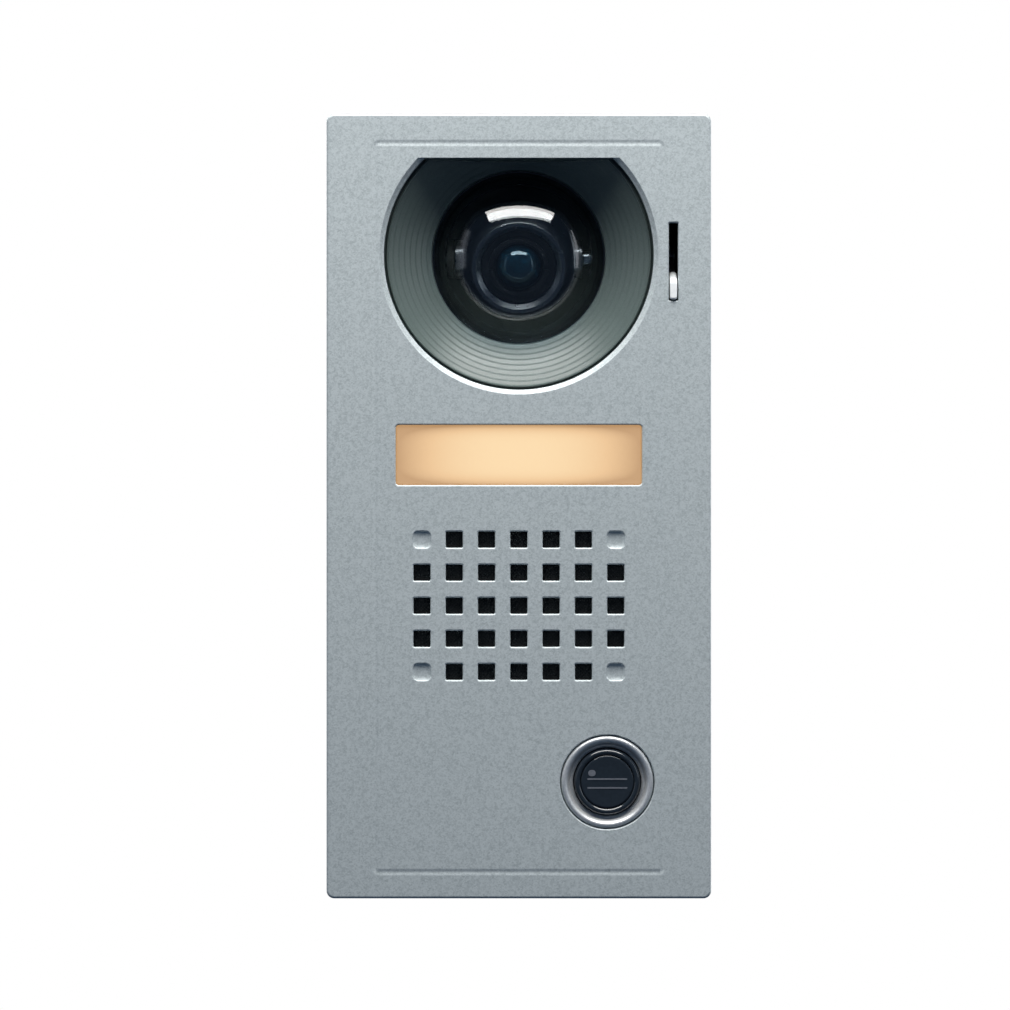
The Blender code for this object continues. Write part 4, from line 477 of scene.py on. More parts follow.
knob_low, knob_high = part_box("tilt_lever_knob")
slot_side = 0.25 * mm
slot_low_z = camera_z - 11.96 * mm
slot_high_z = camera_z + 8.27 * mm
slot_half_x = (knob_high.x - knob_low.x) / 2 + slot_side
slot_middle = ((knob_low.x + knob_high.x) / 2, 0, (slot_low_z + slot_high_z) / 2)
slot_half_z = (slot_high_z - slot_low_z) / 2
combine(housing, loft(mouth(slot_half_x, slot_half_z, 0.3 * mm, inside_y + OVERRUN), slot_middle))

ring_radius = half_size("button_bezel").x
tube_radius = 11.85 * mm
shelf_y = face_y + 2 * mm
profile = [(0, face_y - OVERRUN), (ring_radius + GAP + 0.25 * mm, face_y - OVERRUN)]
profile += [(ring_radius + GAP + 0.25 * mm, face_y), (ring_radius + GAP, face_y + 0.25 * mm)]
profile += [(ring_radius + GAP, shelf_y), (tube_radius, shelf_y), (tube_radius, inside_y + OVERRUN)]
combine(housing, lathe(profile + [(0, inside_y + OVERRUN)], (button_place.x, 0, button_place.z)))

# The shallow V that frames the front panel
groove_half_x = 37.35 * mm
groove_top = half_height - 7.6 * mm
groove_bottom = 6.9 * mm - half_height
groove_half_z = (groove_top - groove_bottom) / 2
groove_depth = 0.13 * mm
groove_half = 1 * mm
groove_corner = 0.1 * mm
groove_steps = 14
groove_clear = 0.002 * mm  # keeps the groove's edges out of the face's own plane
profile = [(groove_half * 1.1, -OVERRUN)]
for step in range(groove_steps + 1):
    across = 1 - 2 * step / groove_steps
    sunk = groove_depth * 0.5 * (1 + math.cos(math.pi * across))
    profile.append((groove_half * across, sunk - groove_clear))
profile.append((-groove_half * 1.1, -OVERRUN))
sections = []
for across, down in profile:
    grow = -across
    corner = groove_corner + groove_half + grow
    outline = rounded(groove_half_x + grow, groove_half_z + grow, corner)
    sections.append((outline, face_y + down))
combine(housing, loft(sections, (0, 0, (groove_top + groove_bottom) / 2), loop=True))

# The speaker's perforations: a grid of square holes, whose four corner ones are left as blind dimples
grille_place = middle("grille_screen")
columns, rows = 7, 5
pitch_x = 8.4 * mm
pitch_z = 8.6 * mm
hole_half_x = 2.2 * mm
hole_half_z = 2.1 * mm
hole_corner = 0.35 * mm
dimple_depth = 0.8 * mm


def new_tree(name, **inputs):
    """A Geometry Nodes tree with the inputs named, between its geometry and its material."""
    tree = bpy.data.node_groups.new(name, "GeometryNodeTree")
    tree.interface.new_socket("Geometry", in_out="OUTPUT", socket_type="NodeSocketGeometry")
    for label, kind in (("geometry", "Geometry"), *inputs.items(), ("material", "Material")):
        label = label.replace("_", " ").title()
        tree.interface.new_socket(label, in_out="INPUT", socket_type="NodeSocket" + kind)
    return tree, add(tree, "NodeGroupInput").outputs


def realized(tree, given, parts):
    """Ends a tree: its instances made real, in the material given."""
    real = add(tree, "GeometryNodeRealizeInstances", {"Geometry": parts}).outputs[0]
    painted = add(tree, "GeometryNodeSetMaterial", {"Geometry": real, "Material": given["Material"]})
    add(tree, "NodeGroupOutput", {"Geometry": painted.outputs[0]})
    return tree


def perforation_tree():
    """Sets its input, one hole's cutter, at each point of a grid, or at the grid's four corners only."""
    kinds = {"columns": "Int", "rows": "Int", "pitch_x": "Float", "pitch_z": "Float"}
    tree, given = new_tree("perforations", **kinds, corners="Bool", centre="Vector")
    place = add(tree, "ShaderNodeSeparateXYZ", {0: add(tree, "GeometryNodeInputPosition").outputs[0]})
    sides, outer = [], []
    for axis, (count, pitch) in enumerate((("Columns", "Pitch X"), ("Rows", "Pitch Z"))):
        steps = add(tree, "ShaderNodeMath", {0: given[count], 1: 1.0}, operation="SUBTRACT").outputs[0]
        side = add(tree, "ShaderNodeMath", {0: steps, 1: given[pitch]}, operation="MULTIPLY").outputs[0]
        most = add(tree, "ShaderNodeMath", {0: side, 1: 0.49}, operation="MULTIPLY").outputs[0]
        reach = add(tree, "ShaderNodeMath", {0: place.outputs[axis]}, operation="ABSOLUTE").outputs[0]
        far = add(tree, "FunctionNodeCompare", {0: reach, 1: most}, operation="GREATER_THAN")
        sides.append(side)
        outer.append(far.outputs[0])
    size = {"Size X": sides[0], "Size Y": sides[1]}
    size |= {"Vertices X": given["Columns"], "Vertices Y": given["Rows"]}
    grid = add(tree, "GeometryNodeMeshGrid", size)
    corner = add(tree, "FunctionNodeBooleanMath", {0: outer[0], 1: outer[1]}, operation="AND").outputs[0]
    unwanted = add(tree, "FunctionNodeBooleanMath", {0: corner, 1: given["Corners"]}, operation="XOR")
    dropped = {"Geometry": grid.outputs["Mesh"], "Selection": unwanted.outputs[0]}
    kept = add(tree, "GeometryNodeDeleteGeometry", dropped, domain="POINT")
    # the points are kept or dropped while they still lie flat, then stood up in the panel's plane
    stand = {"Geometry": kept.outputs[0], "Rotation": (math.pi / 2, 0, 0), "Translation": given["Centre"]}
    upright = add(tree, "GeometryNodeTransform", stand)
    spread = {"Points": upright.outputs["Geometry"], "Instance": given["Geometry"]}
    holes = add(tree, "GeometryNodeInstanceOnPoints", spread)
    return realized(tree, given, holes.outputs["Instances"])


def grown(made, tree, **values):
    """Runs a Geometry Nodes tree on an object, with its named inputs, and keeps the result as its mesh."""
    modifier = made.modifiers.new(tree.name, "NODES")
    modifier.node_group = tree
    wanted = {name.replace("_", " ").lower(): value for name, value in values.items()}
    for item in tree.interface.items_tree:
        if item.item_type == "SOCKET" and item.in_out == "INPUT" and item.name.lower() in wanted:
            modifier[item.identifier] = wanted[item.name.lower()]
    return applied(made)


lacquer = silver_lacquer()
perforations = perforation_tree()
for corners_only in (False, True):
    if corners_only:  # a blind scoop with a smaller floor
        sections = mouth(hole_half_x, hole_half_z, 1.2 * mm, face_y + dimple_depth * 0.5)
        sections.append((rounded(hole_half_x * 0.7, hole_half_z * 0.55, 1 * mm), face_y + dimple_depth))
    else:
        sections = mouth(hole_half_x, hole_half_z, hole_corner, inside_y + OVERRUN)
    cutter = grown(
        as_object("hole_cutter", loft(sections)),
        perforations,
        columns=columns,
        rows=rows,
        pitch_x=pitch_x,
        pitch_z=pitch_z,
        corners=corners_only,
        centre=(grille_place.x, 0, grille_place.z),
        material=lacquer,
    )
    combine(housing, cutter)

# Underneath: the hole of the locking screw and the microphone's port
screw_place = middle("security_screw")
mic_place = middle("microphone")
head_radius = half_size("security_screw").x
seat_z = housing_low.z + 2.3 * mm
profile = [(0, housing_low.z - OVERRUN), (head_radius + 0.7 * mm, housing_low.z - OVERRUN)]
profile += [(head_radius + 0.7 * mm, housing_low.z), (head_radius + GAP, housing_low.z + 0.4 * mm)]
profile += [(head_radius + GAP, seat_z), (1.9 * mm, seat_z), (1.9 * mm, housing_low.z + wall + OVERRUN)]
below = lathe(profile + [(0, housing_low.z + wall + OVERRUN)], (0, screw_place.y, 0), "Z", 32)
profile = [(0, housing_low.z - OVERRUN), (1.3 * mm, housing_low.z - OVERRUN), (1.3 * mm, housing_low.z)]
profile += [(0.9 * mm, housing_low.z + 0.4 * mm), (0.9 * mm, housing_low.z + wall + OVERRUN)]
lathe(profile + [(0, housing_low.z + wall + OVERRUN)], (mic_place.x, mic_place.y, 0), "Z", 32, shape=below)
combine(housing, below)
finished(housing, lacquer, "front_housing", crease=30)

# ---- Camera bezel --------------------------------------------------------------------------------------
# The funnel round the dome, moulded in grey ABS with eight fine anti-glare rings turned into the mould.
# It is pressed against the back of the front wall, and its vault closes the space under the level top.

bezel_low, bezel_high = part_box("camera_bezel")
bezel_y = bezel_low.y
bezel_rear = bezel_high.y
bezel_radius = bezel_high.x
dome_flange_radius = half_size("dome_window").x
cone_rings = 8
cone_depth = 10.7 * mm
cone_first = opening_radius - 0.9 * mm
cone_step = 0.6 * mm
slot_depth = 1.8 * mm  # a narrow slot round the funnel, which shows as a dark line
cone_last = 22.7 * mm
flange_rear = bezel_y + 2.4 * mm
bezel_rim = 2.4 * mm
dome_seat_y = bezel_y + cone_depth + 1 * mm


def mottled(name, tones, roughness, grain, relief=0.01 * mm, strength=0.6, detail=4.0, **more):
    """A material that a noise of its own grain tints and raises, and whose gloss it may vary."""
    ends = more.pop("ends", (0.3, 0.75))
    stretch = more.pop("stretch", None)
    gloss = more.pop("gloss", None)
    material, tree, shader, place = start_material(name, roughness, **more)
    if stretch:
        place = add(tree, "ShaderNodeMapping", {"Vector": place, "Scale": stretch}).outputs[0]
    noise = add(tree, "ShaderNodeTexNoise", {"Vector": place, "Scale": 1 / grain, "Detail": detail})
    tinted(tree, shader, noise.outputs[0], tuple(zip(ends, tones)), relief, strength)
    if gloss:
        spread = {"Value": noise.outputs[0], "To Min": gloss[0], "To Max": gloss[1]}
        tree.links.new(add(tree, "ShaderNodeMapRange", spread).outputs[0], shader.inputs["Roughness"])
    return material


# Spark-eroded grey ABS: an even satin with a faint green cast, so that the funnel shades smoothly
tones = ("#4d5957", "#586562")
satin = {"Specular_IOR_Level": 0.55}
spark_abs = mottled("spark_textured_abs", tones, 0.34, 0.35 * mm, 0.012 * mm, 0.5, 3.0, **satin)

tread = (cone_first - cone_last) / cone_rings
rise = (cone_depth - cone_step) / cone_rings
profile = [(opening_radius + 0.5 * mm, bezel_y), (opening_radius + 0.3 * mm, bezel_y + slot_depth)]
profile += [(cone_first + 0.35 * mm, bezel_y + slot_depth), (cone_first + 0.25 * mm, bezel_y + 0.35 * mm)]
profile += [(cone_first - 0.15 * mm, bezel_y + 0.35 * mm)]
for ring in range(cone_rings):
    outer = cone_first - ring * tread
    front = bezel_y + cone_step + ring * rise
    profile += [(outer - 0.12 * tread, front + 0.16 * rise), (outer - 0.86 * tread, front + 0.82 * rise)]
collar = dome_flange_radius + GAP
profile += [(cone_last, dome_seat_y), (collar, dome_seat_y), (collar, bezel_rear)]
profile += [(collar + bezel_rim, bezel_rear), (collar + bezel_rim, bezel_y + cone_depth)]
profile += [(cone_first + bezel_rim, flange_rear), (bezel_radius, flange_rear), (bezel_radius, bezel_y)]
bezel = as_object("camera_bezel_funnel", lathe(softened(profile, 0.2 * mm, 2), (0, 0, camera_z), sides=160))
ceiling = opening_flat - GAP
crown = opening_flat + 3.4 * mm
half_low = math.sqrt(bezel_radius**2 - ceiling**2) - GAP
half_high = math.sqrt(bezel_radius**2 - crown**2) - GAP
over = crown + OVERRUN
vault_rear = bezel_y + cone_depth * (cone_first - ceiling) / (cone_first - cone_last) + 1 * mm
vault_outline = [(half_low, ceiling), (half_high, over), (-half_high, over), (-half_low, ceiling)]
vault = loft([(vault_outline, bezel_y + GAP / 2), (vault_outline, vault_rear)], (0, 0, camera_z))
combine(bezel, vault, "UNION")
wide = bezel_radius + OVERRUN
above = box((-wide, bezel_y - OVERRUN, camera_z + crown), (wide, bezel_rear + OVERRUN, camera_z + 2 * wide))
combine(bezel, above)
finished(bezel, spark_abs, "camera_bezel", crease=50)

# ---- Dome window and its gasket ------------------------------------------------------------------------
# A dome of clear polycarbonate, 1.8 mm thick and polished on both sides, which reflects the lamps twice.
# A ring of black silicone behind its flange seals it in the bezel.

pivot = Vector(next(j for j in frame["joints"] if j["name"] == "camera_tilt")["pos_m"])
dome_low, dome_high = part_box("dome_window")
dome_radius = 22.4 * mm
dome_wall = 1.8 * mm
dome_flange_y = dome_seat_y + GAP
dome_rise = dome_flange_y - dome_low.y
dome_curve = (dome_radius**2 + dome_rise**2) / (2 * dome_rise)
curve_centre = dome_low.y + dome_curve


def arc(radius, centre_y, front, rear, steps):
    """Points (radius, place) down a ball centred at centre_y, between two places along its axis."""
    first = math.acos(max(-1, min(1, (centre_y - front) / radius)))
    last = math.acos((centre_y - rear) / radius)
    angles = [first + (last - first) * i / steps for i in range(steps + 1)]
    points = [(radius * math.sin(a), centre_y - radius * math.cos(a)) for a in angles]
    if first < 0.001:
        points[0] = (0, front)
    return points


def clear_polycarbonate():
    """Polished clear polycarbonate: water-clear, with moulding ripples too faint to see except in glints."""
    ripple = 9 * mm
    clear = {"IOR": 1.585, "Transmission_Weight": 1.0}
    material, tree, shader, place = start_material("clear_polycarbonate", 0.0, **clear)
    shader.inputs["Base Color"].default_value = linear("#e9f1f6")
    wave = add(tree, "ShaderNodeTexNoise", {"Vector": place, "Scale": 1 / ripple, "Detail": 1.0})
    haze = add(tree, "ShaderNodeMath", {0: wave.outputs[0], 1: 0.02}, operation="MULTIPLY")
    tree.links.new(haze.outputs[0], shader.inputs["Roughness"])
    passing = add(tree, "ShaderNodeBsdfTransparent", {"Color": linear("#e3ebf0")})
    shadow = add(tree, "ShaderNodeLightPath").outputs["Is Shadow Ray"]
    both = add(tree, "ShaderNodeMixShader", {0: shadow, 1: shader.outputs[0], 2: passing.outputs[0]})
    tree.links.new(both.outputs[0], tree.nodes["Material Output"].inputs["Surface"])
    return material


outside = arc(dome_curve, curve_centre, dome_low.y, dome_flange_y, 32)
inside = arc(dome_curve - dome_wall, curve_centre, dome_low.y + dome_wall, dome_high.y, 32)
rim = [(dome_flange_radius, dome_flange_y), (dome_flange_radius, dome_high.y)]
profile = outside + softened(rim, 0.2 * mm, 3, False)
shape = lathe(profile + inside[::-1], (0, 0, camera_z), sides=160)
finished(as_object("dome_window_clear", shape), clear_polycarbonate(), "dome_window", crease=60)

# Moulded black silicone rubber: a soft dark grey sheen with a little dust in its pores
soft_black = ("#141516", "#222425")
rubber = mottled("black_silicone", soft_black, 0.62, 0.5 * mm, 0.02 * mm, 0.7, 5.0, ends=(0.3, 0.8))

gasket_low, gasket_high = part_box("dome_gasket")
gasket_outer = gasket_high.x
gasket_inner = gasket_outer - 2.1 * mm
profile = [(gasket_inner, gasket_low.y), (gasket_outer, gasket_low.y)]
profile += [(gasket_outer, gasket_high.y), (gasket_inner, gasket_high.y)]
shape = lathe(softened(profile, 0.35 * mm, 4), (0, 0, camera_z))
finished(as_object("dome_gasket_ring", shape), rubber, "dome_gasket")

# ---- Camera ball ---------------------------------------------------------------------------------------
# A hollow ball of black acetal that turns on a stub axle and a steel shaft. It is cut flat in front, where a
# polished chamfer leads into the lens hole, and it looks 17.5 degrees down as it leaves the factory.

ball_radius = 15.3 * mm
ball_wall = 1.8 * mm
ball_front = 9.5 * mm
ball_rear = 4 * mm
hole_radius = 9.9 * mm
hole_chamfer = 1.15 * mm
hole_front = 8 * mm
plate_rear = 5.6 * mm
boss_face = 16.6 * mm
ball_boss = 5 * mm
axle_radius = 2.5 * mm
axle_end = 21.7 * mm
socket_half = 1.8 * mm
tilt_rest = math.radians(17.5)
tilted = Matrix.Translation(pivot) @ Matrix.Rotation(tilt_rest, 4, "X")

# Black acetal off a polished mould: deep black with a broad soft highlight, and very fine wear
acetal = mottled(
    "black_acetal",
    ("#020408", "#04070d"),
    0.28,
    1.4 * mm,
    relief=0,
    detail=6.0,
    ends=(0.35, 0.8),
    gloss=(0.26, 0.3),
    Specular_IOR_Level=0.95,
    Coat_Weight=1.0,
    Coat_Roughness=0.22,
    Coat_IOR=1.75,
)

outside = arc(ball_radius, 0, -ball_front, ball_rear, 28)
inside = arc(ball_radius - ball_wall, 0, -plate_rear, ball_rear, 14)
corner = [outside[1], outside[0], (hole_radius + hole_chamfer, -ball_front)]
front_edge = softened(corner, 0.3 * mm, 3, False)
profile = front_edge[:0:-1] + outside[1:] + inside[::-1]
profile += [(hole_radius, -plate_rear), (hole_radius, hole_chamfer * 0.8 - ball_front)]
ball = as_object("camera_ball_turned", lathe(profile, sides=128))
bury = ball_radius - ball_wall - ball_boss / 2
profile = [(0, bury), (ball_boss, bury), (ball_boss, boss_face), (0, boss_face)]
axle = lathe(softened(profile, 0.3 * mm), axis="X", sides=48)
profile = [(0, -bury), (ball_boss, -bury), (ball_boss, -boss_face), (axle_radius, -boss_face)]
profile += [(axle_radius, -axle_end), (0, -axle_end)]
lathe(softened(profile, 0.3 * mm), axis="X", sides=48, shape=axle)
combine(ball, axle, "UNION")
square = rounded(socket_half, socket_half, 0.2 * mm, 3)
combine(ball, loft([(square, bury - OVERRUN), (square, boss_face + OVERRUN)], axis="X"))
finished(ball, acetal, "camera_ball", place=tilted, crease=35)

# ---- Lens ----------------------------------------------------------------------------------------------
# A black anodised barrel, grooved inside against stray light, holds the coated front glass under a slotted
# ring. The same turned finish covers barrel and ring, and the glass bulges out of them.

lens_radius = 5.8 * mm
lens_bulge = 3.9 * mm
barrel_radius = 7 * mm
barrel_bore = 4 * mm
barrel_rear = 3 * mm
ring_width = 1.7 * mm
flange_front = GAP - hole_front
rim_front = flange_front - GAP


def black_anodised():
    """Black anodised aluminium, fine turned: matt black with faint rings round the lens's axis."""
    turning = 0.8 * mm
    material, tree, shader, place = start_material("black_anodised_aluminium", 0.55, Specular_IOR_Level=0.25)
    near = add(tree, "ShaderNodeMapping", {"Vector": place, "Location": -pivot}, vector_type="POINT")
    turn = {"Vector": near.outputs[0], "Axis": (1, 0, 0), "Angle": -tilt_rest}
    upright = add(tree, "ShaderNodeVectorRotate", turn, rotation_type="AXIS_ANGLE")
    apart = add(tree, "ShaderNodeSeparateXYZ", {0: upright.outputs[0]})
    across = add(tree, "ShaderNodeCombineXYZ", {0: apart.outputs[0], 1: apart.outputs[2]})
    radius = add(tree, "ShaderNodeVectorMath", {0: across.outputs[0]}, operation="LENGTH")
    terms = {0: radius.outputs["Value"], 1: 2 * math.pi / turning}
    wave = add(tree, "ShaderNodeMath", terms, operation="MULTIPLY")
    ridge = add(tree, "ShaderNodeMath", {0: wave.outputs[0]}, operation="SINE").outputs[0]
    shade = add(tree, "ShaderNodeMapRange", {"Value": ridge, "From Min": -1.0}).outputs[0]
    tinted(tree, shader, shade, ((0.0, "#020304"), (1.0, "#050608")), 0.01 * mm, 0.25, ridge)
    return material


anodised = black_anodised()
bore = lens_radius + GAP
profile = [(bore, flange_front), (hole_radius - GAP, flange_front)]
profile += [(hole_radius - GAP, flange_front + 1.8 * mm), (barrel_radius, flange_front + 1.8 * mm)]
profile += [(barrel_radius, barrel_rear), (barrel_bore, barrel_rear)]
baffle = barrel_bore + 0.35 * mm
for step in range(4):  # grooves down the bore that catch stray light
    start, end = (barrel_rear - (2 * step + count) * mm for count in (1, 2))
    profile += [(barrel_bore, start), (baffle, start), (baffle, end), (barrel_bore, end)]
profile += [(barrel_bore, -plate_rear), (bore, -plate_rear)]
shape = lathe(softened(profile, 0.12 * mm, 2), sides=96)
finished(as_object("lens_barrel_turned", shape), anodised, "lens_barrel", place=tilted)

curve = (lens_radius**2 + lens_bulge**2) / (2 * lens_bulge)
apex = rim_front - lens_bulge
front_glass = arc(curve, apex + curve, apex, rim_front, 20)
seat_y = -plate_rear - GAP
profile = front_glass + softened([(lens_radius, rim_front), (lens_radius, seat_y)], 0.1 * mm, 2, False)
profile += [(lens_radius * 0.94, seat_y), (0, seat_y)]
# Optical glass with an anti-reflection coat, which leaves a teal bloom instead of a white glare. The bloom is
# partly the coat's own tinted reflection and partly painted into the glass's dark teal colour.
bloom = {"IOR": 1.62, "Coat_Weight": 0.6, "Coat_Roughness": 0.03, "Coat_Tint": linear("#9fd8e6")}
tones = ("#04151d", "#0a2731")
glass_with_painted_bloom = mottled("coated_glass_painted_bloom", tones, 0.02, 3 * mm, relief=0, detail=2.0, ends=(0.3, 0.8), **bloom)
shape = lathe(profile, sides=96)
finished(as_object("lens_front_glass", shape), glass_with_painted_bloom, "lens_front_element", place=tilted)

ring_front = rim_front - 0.9 * mm
profile = [(bore, rim_front), (bore + 0.5 * mm, ring_front), (bore + ring_width, ring_front)]
profile += [(bore + ring_width, rim_front)]
retainer = as_object("lens_retaining_ring_slotted", lathe(softened(profile, 0.12 * mm, 2), sides=96))
reach, notch_half, notch_floor = bore + 2 * ring_width, 0.5 * mm, ring_front + 0.35 * mm
spanner = box((-reach, ring_front - OVERRUN, -notch_half), (reach, notch_floor, notch_half))
combine(retainer, spanner)
finished(retainer, anodised, "lens_retaining_ring", place=tilted)

# ---- Tilt lever ----------------------------------------------------------------------------------------
# A stamped steel arm keyed to the ball's shaft. Its tip carries a white nylon finger piece, which shows in
# the slot beside the camera and is pushed up or down to aim it.

lever_lean = math.radians(4)
knob_middle_x = (knob_low.x + knob_high.x) / 2
knob_tip = 25.5 * mm
knob_length = 6.7 * mm
knob_height = 4.8 * mm
knob_thickness = knob_high.x - knob_low.x
leaned = tilted @ Matrix.Rotation(lever_lean, 4, "X")

# Natural white nylon: a cool off-white, slightly soiled by thumbs
nylon = mottled("white_nylon", ("#eef3f4", "#fbfdfd"), 0.42, 1.8 * mm, relief=0, ends=(0.35, 0.75))

half_x, half_z = knob_thickness / 2, knob_height / 2
sections = []
nose = 0.8 * mm
knob_corner = 0.5 * mm
for inset, depth in quarter(nose, 8):  # rounded much more above and below than at the sides
    outline = rounded(half_x - inset * 0.25, half_z - inset, knob_corner - inset * 0.15, 4)
    sections.append((outline, depth - knob_tip))
sections.append((rounded(half_x, half_z, knob_corner, 4), knob_length - knob_tip))
knob = as_object("tilt_lever_finger_piece", loft(sections, (knob_middle_x, 0, 0)))
rib_pitch, rib_half, rib_floor = 0.55 * mm, 0.15 * mm, 0.12 * mm - knob_tip
ribs = bmesh.new()
for number in range(3):  # grip lines across the tip
    z = (number - 1) * rib_pitch
    notch = [(z - rib_half, -knob_tip - OVERRUN), (z, rib_floor), (z + rib_half, -knob_tip - OVERRUN)]
    ends = (knob_middle_x - 2 * half_x, knob_middle_x + 2 * half_x)
    skin(ribs, [[Vector((x, y, up)) for up, y in notch] for x in ends])
combine(knob, ribs)
pocket_side, pocket_half = half_x - 0.4 * mm, 1.3 * mm
knob_foot = knob_length - knob_tip
pocket_floor = knob_foot - knob_length * 0.6 - GAP
low = (knob_middle_x - pocket_side, pocket_floor, -pocket_half)
high = (knob_middle_x + pocket_side, knob_foot + OVERRUN, pocket_half)
combine(knob, box(low, high))
slant = Matrix.Identity(4)  # stands the tip's face upright where the camera rests
slant[1][2] = math.tan(tilt_rest + lever_lean)
finished(knob, nylon, "tilt_lever_knob", place=leaned @ slant)

# ---- Name window ---------------------------------------------------------------------------------------
# An opal acrylic pane pressed into the front wall from behind, with the owner's card and a frosted light
# guide behind it. The pane glows with painted light for its two warm diodes, brightest in the middle, duller
# toward its edges.

pane_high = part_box("nameplate_window")[1]
pane_half_x = window_half_x - GAP
pane_half_z = window_half_z - GAP
pane_flange = 1 * mm


def slab(node, corner, edge, half=None, front=None, rear=None):
    """A flat block with round corners and eased edges, in a node's box or the sizes given."""
    low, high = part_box(node)
    half_a, half_b = half or (half_size(node).x, half_size(node).z)
    start, end = low.y if front is None else front, high.y if rear is None else rear
    sections = []
    for inset, depth in quarter(edge, 3):
        outline = rounded(half_a - inset, half_b - inset, max(corner - inset, edge * 0.1), 5)
        sections.append((outline, start + depth))
    mirrored = [(outline, start + end - place) for outline, place in sections[::-1]]
    return loft(sections + mirrored, (middle(node).x, 0, middle(node).z))


def painted_glow_acrylic():
    """Opal acrylic with a painted glow for the diodes behind it: warm cream in the middle, amber toward the ends,
    under a glossy skin.
    """
    speck = 1.2 * mm
    glow_strength = 0.93
    fall_across, fall_up = 2.6, 5.0
    material, tree, shader, place = start_material("opal_acrylic_painted_glow", 0.22, Specular_IOR_Level=0.4)
    shader.inputs["Base Color"].default_value = linear("#6d6256")
    near = add(tree, "ShaderNodeVectorMath", {0: place, 1: window_place}, operation="SUBTRACT")
    scale = (1 / pane_half_x, 0, 1 / pane_half_z)
    share = add(tree, "ShaderNodeVectorMath", {0: near.outputs[0], 1: scale}, operation="MULTIPLY")
    apart = add(tree, "ShaderNodeSeparateXYZ", {0: share.outputs[0]})
    steep = []
    for axis, power in ((0, fall_across), (2, fall_up)):
        reach = add(tree, "ShaderNodeMath", {0: apart.outputs[axis]}, operation="ABSOLUTE")
        raised = add(tree, "ShaderNodeMath", {0: reach.outputs[0], 1: power}, operation="POWER")
        steep.append(raised.outputs[0])
    noise = add(tree, "ShaderNodeTexNoise", {"Vector": place, "Scale": 1 / speck, "Detail": 2.0})
    terms = {0: noise.outputs[0], 1: 0.05, 2: steep[0]}
    mottle = add(tree, "ShaderNodeMath", terms, operation="MULTIPLY_ADD")
    terms = {0: steep[1], 1: 0.75, 2: mottle.outputs[0]}
    fade = add(tree, "ShaderNodeMath", terms, operation="MULTIPLY_ADD").outputs[0]
    # painted glow for the diodes' light: cream in the middle, amber where it falls off toward the edges
    tones = ((0.0, "#f8d9aa"), (1.0, "#bd9468"), (0.45, "#e8c08f"))
    glow = add(tree, "ShaderNodeValToRGB", {"Fac": fade}, stops=tones)
    tree.links.new(glow.outputs["Color"], shader.inputs["Emission Color"])
    shader.inputs["Emission Strength"].default_value = glow_strength
    return material


seat_y = pane_high.y - pane_flange + 0.01 * mm
shape = slab("nameplate_window", 0.6 * mm, 0.25 * mm, (pane_half_x, pane_half_z), rear=seat_y + 0.5 * mm)
pane = as_object("name_window_pane", shape)
combine(pane, slab("nameplate_window", 1.5 * mm, 0.15 * mm, front=pane_high.y - pane_flange), "UNION")
finished(pane, painted_glow_acrylic(), "nameplate_window", crease=60)

# Card stock: a soft uncoated paper, cream where the light comes through it
card = mottled("cream_card_stock", ("#e6ddc4", "#f2ebd7"), 0.85, 0.5 * mm, 0.015 * mm)
# Frosted acrylic: clouded so that the two diodes spread into one glow
frosted = mottled("frosted_acrylic", ("#dfe5e6", "#f1f4f4"), 0.5, 2 * mm, Transmission_Weight=0.4)
# White moulded styrene: a bright matt white that throws the light forward
styrene = mottled("white_styrene", ("#dfe2e0", "#eff1ee"), 0.5, 0.8 * mm)
for node, material, slot, edge in (
    ("name_card", card, "white_card", 0.05 * mm),
    ("light_guide", frosted, "white_plastic", 0.3 * mm),
):
    finished(as_object(node + "_cut", slab(node, 0.8 * mm, edge)), material, node, slot=slot)

reflector = as_object("backlight_reflector_frame", slab("backlight_reflector", 1.5 * mm, 0.3 * mm))
reflector_low, reflector_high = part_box("backlight_reflector")
reflector_inner = (34.5 * mm, 10.3 * mm)
sections = []
flare_start, flare_end = pane_high.y + GAP, reflector_high.y + OVERRUN
for flare, y in ((0, reflector_low.y - OVERRUN), (0, flare_start), (0.6 * mm, flare_end)):
    outline = rounded(reflector_inner[0] + flare, reflector_inner[1] + flare, 0.8 * mm, 5)
    sections.append((outline, y))
combine(reflector, loft(sections, (window_place.x, 0, window_place.z)))
finished(reflector, styrene, "backlight_reflector")


def circuit_board():
    """Glass fibre under green solder mask, with copper tracks that show through as lighter lines."""
    track = 2.4 * mm
    sheen = {"Coat_Weight": 0.4, "Coat_Roughness": 0.15}
    material, tree, shader, place = start_material("green_solder_mask", 0.3, **sheen)
    stretch = add(tree, "ShaderNodeMapping", {"Vector": place, "Scale": (1.0, 1.0, 0.35)})
    grid = {"Vector": stretch.outputs[0], "Scale": 1 / track, "Randomness": 0.35}
    cells = add(tree, "ShaderNodeTexVoronoi", grid, distance="CHEBYCHEV")
    ridge = add(tree, "ShaderNodeMath", {0: cells.outputs["Distance"], 1: 14.0}, operation="MULTIPLY")
    wave = add(tree, "ShaderNodeMath", {0: ridge.outputs[0]}, operation="SINE").outputs[0]
    tones = ((0.35, "#0a3d1c"), (0.6, "#1b6b38"), (0.45, "#0f4a24"))
    tinted(tree, shader, wave, tones, 0.03 * mm, 0.4)
    return material


board_green = circuit_board()
